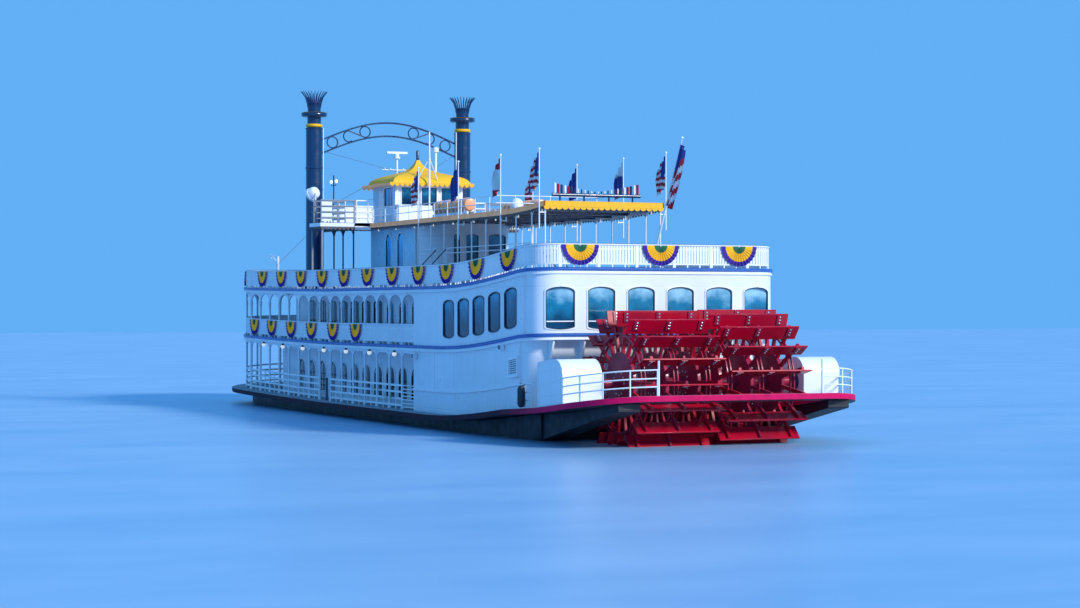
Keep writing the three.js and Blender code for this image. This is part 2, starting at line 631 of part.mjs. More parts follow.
// Corner points of a run round the bow, from port to starboard
const LAST_COLUMN = 23;
const BOW_RUN = { x: bayLine(LAST_COLUMN) + COLUMN / 2 + 0.02, reach: SALOON.reach - 0.2 };
const BOW_POINTS = Array.from({ length: BOW_CHORDS + 1 }, (_, i) => {
  const angle = (0.5 - i / BOW_CHORDS) * Math.PI;
  return [BOW_RUN.x + BOW_RUN.reach * Math.cos(angle), EDGE * Math.sin(angle)];
});
function bowRun({ low, high, plan, thick = POST_THICK }) {
  const chords = BOW_POINTS.slice(1).map((end, i) => {
    const start = BOW_POINTS[i];
    const length = lengthOf(start, end);
    const openings = bayOpenings(length / 2, length - 0.06, plan);
    return panel({ start, end, low, high, left: 0, right: -thick, openings });
  });
  return join(chords);
}

const FIRST_COLUMN = 8;
const mainPlan = { deck: MAIN.top, head: mainHigh - 0.14, rail: MAIN_RAIL, slots: 0, bars: 1 };
const saloonPlan = { deck: SALOON.top, head: saloonHigh - 0.1, crown: 0.5, rail: RAIL, slots: 1 };
const promenadePlan = { deck: PROMENADE.top, head: 0, rail: RAIL, slots: 1 };
const promenadeHigh = PROMENADE.top + RAIL;

pair('main_colonnade_SIDE', WHITE, sideRun({
  from: FIRST_COLUMN, to: LAST_COLUMN, y: EDGE, low: mainLow, high: mainHigh, plan: mainPlan,
  gates: [15] }));
part('main_colonnade_bow', WHITE, bowRun({ low: mainLow, high: mainHigh, plan: mainPlan }));
pair('saloon_arcade_SIDE', WHITE, sideRun({
  from: FIRST_COLUMN, to: LAST_COLUMN, y: EDGE, low: saloonLow, high: saloonHigh, plan: saloonPlan,
  fans: [12, 14, 16, 18, 20, 22] }));
part('saloon_arcade_bow', WHITE, bowRun({ low: saloonLow, high: saloonHigh, plan: saloonPlan }));

// Promenade rail: the sides with their fans, the stern with its rounded corners, and the bow
const sternRail = { x: 0.1, corner: 1.1 };
pair('promenade_rail_SIDE', WHITE, sideRun({
  from: 1, to: LAST_COLUMN, y: EDGE, low: texasLow, high: promenadeHigh, plan: promenadePlan,
  fans: bays(0, 11).map((k) => 1 + 2 * k) }));
part('promenade_rail_bow', WHITE, bowRun({ low: texasLow, high: promenadeHigh, plan: promenadePlan }));

const STAFF = { base: [0.45, 0.12, 7.4], top: [-2.25, 0.12, 12.5], radius: 0.05 };
function promenadeSternRail() {
  const steps = 4;
  const quarter = (radius) => Array.from({ length: steps + 1 }, (_, i) => {
    const angle = (i / steps) * Math.PI / 2;
    return [sternRail.x + sternRail.corner - radius * Math.sin(angle),
      EDGE - sternRail.corner + radius * Math.cos(angle)];
  });
  const end = bayLine(1);
  const lead = (radius) => [end, EDGE - sternRail.corner + radius];
  const across = (points) => [...points].reverse().map(([x, y]) => [x, -y]);
  const [outer, inner] = [sternRail.corner, sternRail.corner - POST_THICK];
  const outside = [lead(outer), ...quarter(outer)];
  const inside = [lead(inner), ...quarter(inner)];
  const wall = slab([...outside, ...across(outside), ...[...inside, ...across(inside)].reverse()],
    texasLow, promenadeHigh);
  const half = EDGE - sternRail.corner;
  const slot = {
    width: 0.36, low: PROMENADE.top + RAIL_FRAME.foot, high: promenadeHigh - RAIL_FRAME.top };
  const gaps = [-4.4, -2.65, -1.35, 1.35, 2.65, 4.4].flatMap((y) => [-0.234, 0.234].map(
    (shift) => crossWindow(sternRail.x, y + shift, slot)));
  const line = { start: [sternRail.x, -half], end: [sternRail.x, half] };
  const fans = [-3.97, 0, 3.97].map((y) => fan(line.start, line.end, y + half, promenadeHigh));
  const up = rise(0);
  const [base, top] = [STAFF.base, STAFF.top].map(([x, y, z]) => [x, y, z + up]);
  const staff = bar(base, top, STAFF.radius, 6, STAFF.radius * 0.6);
  const [x, y] = STAFF.base;
  const foot = seat(bar([x, y, texasLow], [x, y, STAFF.base[2] + 0.15], STAFF.radius * 1.4), x);
  const flag = upright({
    start: [-2.2, STAFF.base[1]], end: [-1.5, STAFF.base[1]], left: 0.03, right: -0.03,
    outline: [[0.02, 12.2], [0.62, 11.1], [0.3, 8.6], [-0.25, 8.7], [-0.1, 11.0]],
  });
  return join([cut(wall, gaps), ...fans, staff, foot, flag]);
}
part('promenade_rail_stern', WHITE, promenadeSternRail());

// Awning posts under a beam, with the flag poles clamped outside the awning's skirt
const FLAG_LINES = [5.95, 10.55, 16.0, 21.65];
const POLE = { y: 3.3, low: 9.3, high: 13.3, radius: 0.04 };
const FLAG = { hoist: 1.35, fly: 0.75, thick: 0.05 };
function awningPosts() {
  const y = AWNING.half - 0.07;
  const beam = { low: texasHigh - 0.16, high: texasHigh };
  const ends = [AWNING.aft + 0.1, BRIDGE_DECK.aft];
  const header = panel({ start: [ends[0], y], end: [ends[1], y], ...beam, left: 0, right: -0.1 });
  const posts = [ends[0] + 0.05, ...bays(4, 13).map(bayLine)].map((x) => lift(
    box(x - 0.04, x + 0.04, y - 0.09, y - 0.01, texasLow, beam.low + 0.05)));
  const skirtLow = HURRICANE.top - HURRICANE.thick - AWNING.skirt;
  const poles = FLAG_LINES.flatMap((x) => {
    const up = rise(x);
    const clampZ = skirtLow - 0.12 + up;
    const flagTop = POLE.high - 0.1;
    return [
      bar([x, POLE.y, POLE.low + up], [x, POLE.y, POLE.high], POLE.radius, 4, POLE.radius * 0.7),
      box(x - 0.04, x + 0.04, y - 0.06, POLE.y, clampZ - 0.04, clampZ + 0.04),
      box(x - 0.04, x + 0.04, y - 0.08, y - 0.02, clampZ - 0.04, texasHigh - 0.1 + up),
      box(x, x + FLAG.fly, POLE.y - FLAG.thick / 2, POLE.y + FLAG.thick / 2, flagTop - FLAG.hoist, flagTop),
    ];
  });
  return join([header, ...posts, ...poles]);
}
pair('awning_posts_SIDE', WHITE, awningPosts());

// Posts under the bridge deck
function bridgePosts() {
  const y = BRIDGE_DECK.half - 0.12;
  const beam = { low: texasHigh - 0.2, high: texasHigh };
  const header = panel({
    start: [30.4, y], end: [BRIDGE_DECK.fore - 0.1, y], ...beam, left: 0, right: -0.12 });
  const posts = [30.5, 32.3, 33.9, 36.4, 38.0].map((x) => lift(
    box(x - 0.06, x + 0.06, y - 0.11, y - 0.01, texasLow, beam.low + 0.05)));
  return join([header, ...posts]);
}
pair('bridge_deck_posts_SIDE', NAVY, bridgePosts());

// Rails of horizontal bars: round the bridge deck, beside the pilothouse and round the fantail
function barredRun({ start, end, low, high, rows, pitch }) {
  const length = lengthOf(start, end);
  const count = Math.max(1, Math.round(length / pitch));
  const step = (high - low) / rows;
  const openings = Array.from({ length: count * rows }, (_, i) => {
    const [column, row] = [i % count, Math.floor(i / count)];
    return {
      at: ((column + 0.5) / count) * length, width: length / count - BAR,
      low: low + row * step + BAR / 2, high: low + (row + 1) * step - BAR / 2,
    };
  });
  return panel({ start, end, low, high, left: 0, right: -BAR, openings });
}
function railLoop(points, settings) {
  return join(points.slice(1).map((end, i) => barredRun({ start: points[i], end, ...settings })));
}

const bridgeRail = { low: HURRICANE.top + GAP, high: HURRICANE.top + 1.3, rows: 2, pitch: 2.1 };
function bridgeRailing() {
  const [aft, fore, side] = [BRIDGE_DECK.aft + 0.06, BRIDGE_DECK.fore - 0.06, BRIDGE_DECK.half - 0.06];
  const loop = railLoop([[aft, side], [fore, side], [fore, -side], [aft, -side]], bridgeRail);
  const top = bridgeRail.high + rise(fore);
  const lamp = { x: fore - 0.4, radius: 0.36, back: 0.2 };
  const mastX = 33.7;
  const fittings = [side - BAR / 2, -side + BAR / 2].flatMap((y) => [
    bar([lamp.x, y, top - 0.1], [lamp.x, y, top + 0.45], 0.06, 8),
    bar([lamp.x - 0.3, y, top + 0.6], [lamp.x + 0.28, y, top + 0.68], lamp.back, 10, lamp.radius),
    bar([mastX, y, bridgeRail.high - 0.1], [mastX, y, 13.5], 0.035),
  ]);
  return join([loop, ...fittings]);
}
part('bridge_deck_rail', WHITE, bridgeRailing());

const awningRail = { low: HURRICANE.top + GAP, high: HURRICANE.top + 0.8, rows: 1, pitch: 1.87 };
part('awning_rail', WHITE, railLoop(
  [[BRIDGE_DECK.aft - 0.02, 2.95], [12.0, 2.95], [12.0, -2.95], [BRIDGE_DECK.aft - 0.02, -2.95]]
    .reverse(), awningRail));

const fantailRail = { low: MAIN.top + GAP, high: MAIN.top + 1.1, rows: 2, pitch: 1.6 };
function fantailRailing() {
  const inset = 0.12;
  const curve = [0.08, 0.42, 0.66, 0.85, 0.98].map((share) => {
    const x = FANTAIL.shoulder - share * (FANTAIL.shoulder - FANTAIL.aft);
    return [x + inset * share, fantailEdge(x) - inset];
  });
  const points = [...curve.reverse(), [HOUSING.aft - 0.02, MAIN.half - inset]];
  return railLoop(points, fantailRail);
}
pair('fantail_rail_SIDE', WHITE, fantailRailing());

// Chimneys with a collar, a yellow band and a crown of prongs
function chimney() {
  const { radius, base, shoulder, neck, disc, crown, top, flare, sides } = CHIMNEY;
  const foot = PROMENADE.top + GAP;
  const body = lathe([
    [0, foot], [base, foot], [base, foot + 0.3], [radius, foot + 0.5], [radius, 16.3], [shoulder, 16.32],
    [shoulder, 16.42], [neck, 16.44], [neck, 17.0], [disc, 17.05], [disc, 17.2], [neck, 17.25],
    [neck * 0.95, crown], [0, crown],
  ], sides);
  const prongs = Array.from({ length: sides }, (_, i) => {
    const angle = (i / sides) * Math.PI * 2;
    const at = (r, z) => [CHIMNEY.x + r * Math.cos(angle), CHIMNEY.y + r * Math.sin(angle), z];
    return bar(at(neck * 0.85, crown - 0.2), at(flare, top), 0.05, 4, 0.085);
  });
  const tube = seat(body.translate(CHIMNEY.x, CHIMNEY.y, 0), CHIMNEY.x);
  return join([tube, ...prongs]);
}
pair('chimney_SIDE', NAVY, chimney());

// Arched truss between the chimneys: two chords with rings between them
function chimneyArch() {
  const { end, crown, depth, thick, bar: chord, rings, bare } = ARCH;
  const half = CHIMNEY.y - CHIMNEY.radius - GAP;
  const lower = (y) => end + (crown - end) * Math.cos((y / half) * Math.PI / 2);
  const steps = 10;
  const ys = Array.from({ length: steps + 1 }, (_, i) => half * (2 * i / steps - 1));
  const band = (height) => {
    const shape = new THREE.Shape(asVectors([
      ...ys.map((y) => [y, lower(y) + height]),
      ...[...ys].reverse().map((y) => [y, lower(y) + height + chord])]));
    return new THREE.ExtrudeGeometry(shape, { depth: thick, bevelEnabled: false });
  };
  const scrolls = bays(0, rings).filter((i) => !bare.includes(i)).map((i) => {
    const y = half * ((2 * (i + 0.5)) / rings - 1) * 0.97;
    const radius = (depth - chord) / 2 + 0.03;
    const middle = lower(y) + (depth + chord) / 2;
    const shape = new THREE.Shape().absarc(y, middle, radius, 0, Math.PI * 2);
    shape.holes = [new THREE.Path().absarc(y, middle, radius - 0.08, 0, Math.PI * 2)];
    return new THREE.ExtrudeGeometry(shape, { depth: thick * 0.7, bevelEnabled: false, curveSegments: 4 });
  });
  const standing = new THREE.Matrix4().makeBasis(
    new THREE.Vector3(0, 1, 0), new THREE.Vector3(0, 0, 1), new THREE.Vector3(1, 0, 0));
  const flat = [band(0), band(depth), ...scrolls].map((geometry) => geometry
    .applyMatrix4(standing).translate(CHIMNEY.x - thick / 2, 0, 0));
  return join(flat);
}
part('chimney_arch', NAVY, chimneyArch());

// Housings of the wheel's drive and bearings, with a blind bore for the shaft
function wheelHousing() {
  const { aft, fore, inner, outer, height, corner } = HOUSING;
  const [low, high] = [MAIN.top + GAP, MAIN.top + height];
  const length = fore - aft;
  const round = Array.from({ length: 5 }, (_, i) => {
    const angle = Math.PI / 2 + (i / 4) * Math.PI / 2;
    return [corner + corner * Math.cos(angle), high - corner + corner * Math.sin(angle)];
  });
  const block = upright({
    start: [aft, inner], end: [fore, inner], left: outer - inner, right: 0,
    outline: [[0, low], [length, low], [length, high], ...round],
  });
  const bore = bar([WHEEL.x, inner - 0.1, WHEEL.z], [WHEEL.x, SHAFT_END + 0.05, WHEEL.z],
    WHEEL.shaft + BEARING_SLACK, 12);
  return cut(block, [bore]);
}
pair('wheel_housing_SIDE', WHITE, wheelHousing());

part('wheel_shaft', STEEL, bar(
  [WHEEL.x, -SHAFT_END, WHEEL.z], [WHEEL.x, SHAFT_END, WHEEL.z], WHEEL.shaft, 12));

// One half of the wheel: two frames, each with a hub, arms and a ring, and planks between their tips
function wheelHalf(turn) {
  const { buckets, radius, arm, frame, ring, ringWidth, hub, shaft, plank, inner, outer } = WHEEL;
  const pitch = (Math.PI * 2) / buckets;
  const polar = (r, angle) => [r * Math.cos(angle), r * Math.sin(angle)];
  const flank = (r) => Math.asin(arm / 2 / r);
  const spoke = (i) => i * pitch + turn;
  const tip = radius - plank * 0.12;
  const within = ring - ringWidth;
  const outline = bays(0, buckets).flatMap((i) => [
    polar(ring, spoke(i) - flank(ring)), polar(tip, spoke(i) - flank(tip)),
    polar(tip, spoke(i) + flank(tip)), polar(ring, spoke(i) + flank(ring))]);
  const sectors = bays(0, buckets).map((i) => [
    polar(hub, spoke(i) + flank(hub)), polar(hub, spoke(i + 1) - flank(hub)),
    polar(within, spoke(i + 1) - flank(within)), polar(within, spoke(i) + flank(within))]);
  const shape = new THREE.Shape(asVectors(outline));
  shape.holes = sectors.map((points) => new THREE.Path(asVectors(points)));
  const frames = [inner + 0.35, outer - 0.35 - frame].map((y) => (
    new THREE.ExtrudeGeometry(shape, { depth: frame, bevelEnabled: false }).translate(0, 0, y)));
  const boards = bays(0, buckets).map((i) => new THREE.BoxGeometry(plank, WHEEL.board, outer - inner)
    .translate(radius - plank / 2, arm / 2 + WHEEL.board / 2 - 0.02, 0).rotateZ(spoke(i))
    .translate(0, 0, (inner + outer) / 2));
  const standing = [...frames, ...boards].map((geometry) => (
    geometry.rotateX(Math.PI / 2).translate(WHEEL.x, 0, WHEEL.z)));
  const bore = bar([WHEEL.x, -outer - 1, WHEEL.z], [WHEEL.x, outer + 1, WHEEL.z], shaft + GAP, 12);
  return cut(join(standing), [bore]);
}
const turned = (degrees) => wheelHalf(THREE.MathUtils.degToRad(degrees));
part('wheel_half_starboard', RED, turned(WHEEL.turns.starboard));
part('wheel_half_port', RED, turned(WHEEL.turns.port), -1);

// Rudders under the fantail, each on a stock below the main deck
function rudder() {
  const { x, y, ahead, astern, low, high, thick } = RUDDER;
  const blade = box(x - astern, x + ahead, y - thick / 2, y + thick / 2, low, high);
  const deckUnder = MAIN.top - MAIN.thick - GAP + rise(x + RUDDER_STOCK);
  return join([blade, bar([x, y, low], [x, y, deckUnder], RUDDER_STOCK, 10)]);
}
pair('rudder_SIDE', BLACK, rudder());

// Calliope on the awning roof: pipes tall at the ends of a trunk on legs
function calliope() {
  const [x, half] = [6.7, 2.3];
  const roof = HURRICANE.top + GAP;
  const trunk = roof + 0.33 + rise(x);
  const legs = [-1.9, -0.65, 0.65, 1.9].map((y) => seat(bar([x, y, roof], [x, y, roof + 0.38], 0.05), x));
  const pipes = bays(0, 17).map((i) => {
    const y = half * 0.94 * (i / 8 - 1);
    const height = 0.12 + 0.38 * (Math.abs(i - 8) / 8) ** 1.3;
    return bar([x, y, trunk + 0.05], [x, y, trunk + 0.12 + height], 0.05);
  });
  return join([box(x - 0.12, x + 0.12, -half, half, trunk, trunk + 0.14), ...legs, ...pipes]);
}
part('calliope', NAVY, calliope());

// Mast with a turning scanner ahead of the pilothouse, and a plain pole behind it
const MAST = { x: 33.8, top: 14.65, radius: 0.09, yard: 13.9 };
function foreMast() {
  const foot = HURRICANE.top + GAP;
  return join([
    bar([MAST.x, 0, foot + 0.1], [MAST.x, 0, MAST.top], MAST.radius, 8, MAST.radius * 0.7),
    seat(bar([MAST.x, 0, foot], [MAST.x, 0, foot + 0.12], 0.25, 8), MAST.x),
    bar([MAST.x, -0.9, MAST.yard], [MAST.x, 0.9, MAST.yard], 0.03),
    bar([MAST.x, 0, MAST.top - 0.12], [MAST.x, 0, MAST.top], 0.2, 8),
  ]);
}
part('signal_mast', WHITE, foreMast());
function scanner() {
  const low = MAST.top + GAP;
  return join([
    bar([MAST.x, 0, low], [MAST.x, 0, low + 0.2], 0.14, 8),
    box(MAST.x - 0.1, MAST.x + 0.1, -0.64, 0.64, low + 0.18, low + 0.32),
  ]);
}
part('radar_scanner', WHITE, scanner());

function whistleMast() {
  const [x, y, radius, top] = [27.9, 0.25, 0.05, 15.7];
  const foot = HURRICANE.top + GAP + rise(x);
  return join([bar([x, y, foot], [x, y, top], radius, 8), bar([x, y, foot], [x, y, foot + 0.1], 0.16, 8)]);
}
part('whistle_mast', WHITE, whistleMast());

// Life rafts in a row of canisters on two runners
function rafts() {
  const [y, radius, length, first, pitch, count] = [2.0, 0.34, 1.05, 17.55, 1.2, 4];
  const roof = HURRICANE.top + GAP;
  const middle = roof + 0.26 + radius;
  const cans = bays(0, count).map((i) => bar(
    [first + i * pitch, y, middle], [first + i * pitch + length, y, middle], radius, 8));
  const last = first + (count - 1) * pitch + length;
  const runners = [-0.2, 0.2].map((dy) => box(
    first - 0.1, last + 0.1, y + dy - 0.05, y + dy + 0.05, roof, roof + 0.35));
  return join([...cans, ...runners]);
}
pair('raft_row_SIDE', ORANGE, rafts());

function dome() {
  const profile = [
    [0, 0], [0.16, 0], [0.16, 0.3], [0.33, 0.34], [0.35, 0.5], [0.3, 0.72], [0.16, 0.85], [0, 0.9]];
  return lathe(profile, 12).translate(16.2, 0, HURRICANE.top + GAP);
}
part('antenna_dome', WHITE, dome());

// Bow davits: a post on the promenade deck with a swinging arm on top
const DAVIT = { x: 44.4, y: 3.9, post: 8.55, radius: 0.09, reach: 1.5 };
function davitPost() {
  const foot = PROMENADE.top + GAP;
  return join([
    bar([DAVIT.x, DAVIT.y, foot + 0.25], [DAVIT.x, DAVIT.y, DAVIT.post], DAVIT.radius, 8),
    seat(bar([DAVIT.x, DAVIT.y, foot], [DAVIT.x, DAVIT.y, foot + 0.1], 0.2, 8), DAVIT.x),
  ]);
}
pair('davit_post_SIDE', WHITE, davitPost());
function davitArm() {
  const low = DAVIT.post + GAP;
  const [x, y, reach] = [DAVIT.x, DAVIT.y, DAVIT.reach];
  return join([
    bar([x, y, low], [x, y, low + 0.5], DAVIT.radius, 8),
    bar([x, y, low + 0.08], [x + reach, y, low + 0.62], 0.05),
    bar([x, y, low + 0.46], [x + reach, y, low + 0.62], 0.03),
    bar([x + reach - 0.05, y, low + 0.62], [x + reach - 0.05, y, low + 0.4], 0.05),
  ]);
}
pair('davit_arm_SIDE', WHITE, davitArm());

export default boat;
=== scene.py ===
# Looks of a sternwheel river boat at 1:2 scale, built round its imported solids.
import math

import bmesh
import bpy
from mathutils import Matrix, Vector
from mathutils.geometry import tessellate_polygon


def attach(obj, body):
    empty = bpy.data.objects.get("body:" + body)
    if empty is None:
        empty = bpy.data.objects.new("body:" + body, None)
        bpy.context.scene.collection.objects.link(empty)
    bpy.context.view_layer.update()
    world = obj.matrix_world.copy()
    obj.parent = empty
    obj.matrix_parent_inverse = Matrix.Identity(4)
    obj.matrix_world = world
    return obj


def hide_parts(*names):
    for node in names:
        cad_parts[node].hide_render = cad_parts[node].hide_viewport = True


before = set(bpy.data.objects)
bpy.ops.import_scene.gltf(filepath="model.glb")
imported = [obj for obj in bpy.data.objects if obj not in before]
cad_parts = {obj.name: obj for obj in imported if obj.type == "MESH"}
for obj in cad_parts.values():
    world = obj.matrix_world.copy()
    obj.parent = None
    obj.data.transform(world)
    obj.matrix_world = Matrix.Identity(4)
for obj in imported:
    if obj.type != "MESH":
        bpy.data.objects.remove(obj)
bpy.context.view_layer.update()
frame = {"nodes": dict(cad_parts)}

# Sizes are metres of the full-size boat: q ahead of the saloon's stern wall, y from the centreline,
# z above the water. model() turns a point into metres of the model.
SCALE = 0.5
MIDDLE = 21.5
DRAFT = 1.9
BAY = 1.87
LAST_BAY = 23

# The decks' rise above their midships height: bay line, rise
DECK_LINE = [
    (-4, 1.5), (-3, 1.25), (-2, 1.03), (-1, 0.85), (0, 0.73), (1, 0.63), (2, 0.44), (3, 0.27),
    (4, 0.13), (5, 0.04), (6, 0.0), (15, 0.0), (19, 0.07), (23, 0.18), (27, 0.38),
]

MAIN_TOP = 0.75
SALOON_TOP = 4.0
PROMENADE_TOP = 6.9
ROOF_TOP = 10.58
ROOF_THICK = 0.16
SKIRT = 0.25
DECK_THICK = 0.28
GUARD_HALF = 6.9
DECK_HALF = 6.16
HOUSE_SIDE = 6.1
WALL = 0.1
# Ahead of STEP, from the bay line RECESSED on, the side walls stand further in, at RECESS
STEP = 14.96
RECESSED = 8
RECESS = 4.9
# Rails run at EDGE along the sides and round the bow from BOW on
EDGE = 6.0
BOW = 43.09
BOW_REACH = 6.4
BOW_TURN = (math.pi / 2, -math.pi / 2)
# The decks narrow from NARROWS on, and the main deck astern of FANTAIL
NARROWS = 43
FANTAIL = -4
FANTAIL_REACH = 3.5
# A gap that keeps two faces apart
CLEAR = 0.001
AWNING_HALF = 3.12
BRIDGE_HALF = 4.0
BRIDGE_FORE = 38.3
SIDES = (("port", 1), ("starboard", -1))


def model(point):
    """A point of the full-size boat in metres of the model."""
    q, y, z = point
    return ((q - MIDDLE) * SCALE, y * SCALE, (z + DRAFT) * SCALE)


def rise(q):
    """Rise of the deck line at any place along the boat."""
    n = q / BAY
    if n <= DECK_LINE[0][0]:
        return DECK_LINE[0][1]
    for (n0, r0), (n1, r1) in zip(DECK_LINE, DECK_LINE[1:]):
        if n <= n1:
            return r0 + (n - n0) / (n1 - n0) * (r1 - r0)
    return DECK_LINE[-1][1]


def steps(start, end, count):
    """Even steps from one number to another, with both of them."""
    return [start + (end - start) * i / count for i in range(count + 1)]


# Shapes


class Shape:
    """Points and faces in boat metres. A finish is kept for each face, and for each point a height share
    that places the glass's painted sky reflection.
    """

    def __init__(self):
        self.points, self.faces, self.finishes, self.reflection_heights = [], [], [], []

    def add(self, points, faces, sheer=False, finish=0, reflection_heights=None):
        base = len(self.points)
        self.points += [(q, y, z + rise(q)) if sheer else (q, y, z) for q, y, z in points]
        self.faces += [tuple(base + i for i in face) for face in faces]
        self.finishes += [finish] * len(faces)
        self.reflection_heights += reflection_heights or [0.5] * len(points)

    def block(self, q, y, z, **how):
        """A box from three pairs of limits."""
        points = [(q[i], y[j], z[k]) for i in (0, 1) for j in (0, 1) for k in (0, 1)]
        faces = [(0, 1, 3, 2), (4, 6, 7, 5), (0, 4, 5, 1), (2, 3, 7, 6), (0, 2, 6, 4), (1, 5, 7, 3)]
        self.add(points, faces, **how)

    def tube(self, path, radius, sides=8, **how):
        """A round bar along a path. radius is one number, or one for each point."""
        path = [Vector(p) for p in path]
        radii = radius if isinstance(radius, (list, tuple)) else [radius] * len(path)
        count = len(path)
        points, side = [], None
        for i, p in enumerate(path):
            ahead = path[min(i + 1, count - 1)]
            behind = path[max(i - 1, 0)]
            along = (ahead - behind).normalized()
            if side is None:
                side = along.cross(Vector((0, 0, 1)) if abs(along.z) < 0.9 else Vector((0, 1, 0)))
            side = (side - along * side.dot(along)).normalized()
            up = along.cross(side)
            for k in range(sides):
                angle = 2 * math.pi * k / sides
                points.append(p + (side * math.cos(angle) + up * math.sin(angle)) * radii[i])
        self.rings(points, count, sides, **how)

    def rings(self, points, count, sides, closed=False, **how):
        """Faces between rings of points, with flat ends unless the last ring joins the first."""
        faces = []
        for i in range(count if closed else count - 1):
            a, b = i * sides, (i + 1) % count * sides
            faces += [(a + k, a + (k + 1) % sides, b + (k + 1) % sides, b + k) for k in range(sides)]
        if not closed:
            faces.append(tuple(range(sides))[::-1])
            faces.append(tuple(range((count - 1) * sides, count * sides)))
        self.add([tuple(p) for p in points], faces, **how)

    def lathe(self, profile, base, axis=(0, 0, 1), sides=32, **how):
        """A profile of (radius, height) pairs turned round an axis at a base point."""
        base, axis = Vector(base), Vector(axis).normalized()
        side = axis.cross(Vector((0, 1, 0)) if abs(axis.y) < 0.9 else Vector((1, 0, 0))).normalized()
        up = axis.cross(side)
        points, closed = [], profile[0] == profile[-1]
        profile = profile[:-1] if closed else profile
        for radius, height in profile:
            for k in range(sides):
                angle = 2 * math.pi * k / sides
                points.append(base + axis * height
                              + (side * math.cos(angle) + up * math.sin(angle)) * max(radius, 1e-4))
        self.rings(points, len(profile), sides, closed, **how)

    def prism(self, outline, lay, near, far, holes=(), with_reflection_height=False, **how):
        """A flat shape with holes, given by (a, b) pairs, between two depths. lay(a, b, depth) places it."""
        loops = [list(outline)] + [list(hole) for hole in holes]
        flat = [p for loop in loops for p in loop]
        count = len(flat)
        points = [lay(a, b, near) for a, b in flat] + [lay(a, b, far) for a, b in flat]
        triangles = tessellate_polygon([[Vector((a, b, 0)) for a, b in loop] for loop in loops])
        faces = [tuple(t) for t in triangles] + [tuple(i + count for i in t)[::-1] for t in triangles]
        start = 0
        for loop in loops:
            size = len(loop)
            for i in range(size):
                a, b = start + i, start + (i + 1) % size
                faces.append((a, b, b + count, a + count))
            start += size
        # Height shares, 0 at the foot and 1 at the head, that place the glass's painted sky reflection.
        reflection_heights = None
        if with_reflection_height:
            heights = [b for _, b in flat]
            low, span = min(heights), max(heights) - min(heights)
            reflection_heights = [(b - low) / span for b in heights] * 2
        self.add(points, faces, reflection_heights=reflection_heights, **how)

    def sweep(self, path, profile, level=0.0, closed=False, **how):
        """A profile of (out, up) pairs carried along a plan path of (q, y) pairs. Out is to port of it.

        level is added to up, and so is the deck line's rise.
        """
        count = len(path)
        points = []
        for i, (q, y) in enumerate(path):
            ahead = path[(i + 1) % count] if closed or i < count - 1 else path[i]
            behind = path[i - 1] if closed or i else path[i]
            along = Vector((ahead[0] - behind[0], ahead[1] - behind[1])).normalized()
            points += [(q - along.y * out, y + along.x * out, level + up) for out, up in profile]
        self.rings(points, count, len(profile), closed, sheer=True, **how)

    def bar(self, path, level, radius, **how):
        """A round bar along a plan path, at a level that the deck line's rise is added to."""
        self.tube([(q, y, level + rise(q)) for q, y in path], radius, **how)

    def post(self, q, y, low, high, radius, sides=8, **how):
        """An upright round bar between two such levels."""
        self.tube([(q, y, low + rise(q)), (q, y, high + rise(q))], radius, sides, **how)


def make(name, shape, finishes, body="vessel", replaces=(), angle=35, bevel=0, smooth=True):
    """One mesh object from a shape, riding on a body. bevel is in boat metres."""
    mesh = bpy.data.meshes.new(name)
    mesh.from_pydata([model(p) for p in shape.points], [], shape.faces)
    finishes = finishes if isinstance(finishes, (list, tuple)) else [finishes]
    for finish in finishes:
        mesh.materials.append(finish)
    mesh.polygons.foreach_set("material_index", shape.finishes)
    # Each point's height share in its window, read by the glass for its painted sky reflection.
    reflection_height = mesh.attributes.new("reflection_height", "FLOAT", "POINT")
    reflection_height.data.foreach_set("value", shape.reflection_heights)
    work = bmesh.new()
    work.from_mesh(mesh)
    bmesh.ops.remove_doubles(work, verts=work.verts, dist=1e-5)
    bmesh.ops.recalc_face_normals(work, faces=work.faces)
    work.to_mesh(mesh)
    work.free()
    mesh.polygons.foreach_set("use_smooth", [smooth] * len(mesh.polygons))
    mesh.set_sharp_from_angle(angle=math.radians(angle))
    piece = bpy.data.objects.new(name, mesh)
    bpy.context.scene.collection.objects.link(piece)
    if bevel:
        soften = piece.modifiers.new("edges", "BEVEL")
        soften.width, soften.segments, soften.limit_method = bevel * SCALE, 2, "ANGLE"
        soften.angle_limit = math.radians(40)
    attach(piece, body)
    if replaces:
        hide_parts(*replaces)
    return piece


# Materials


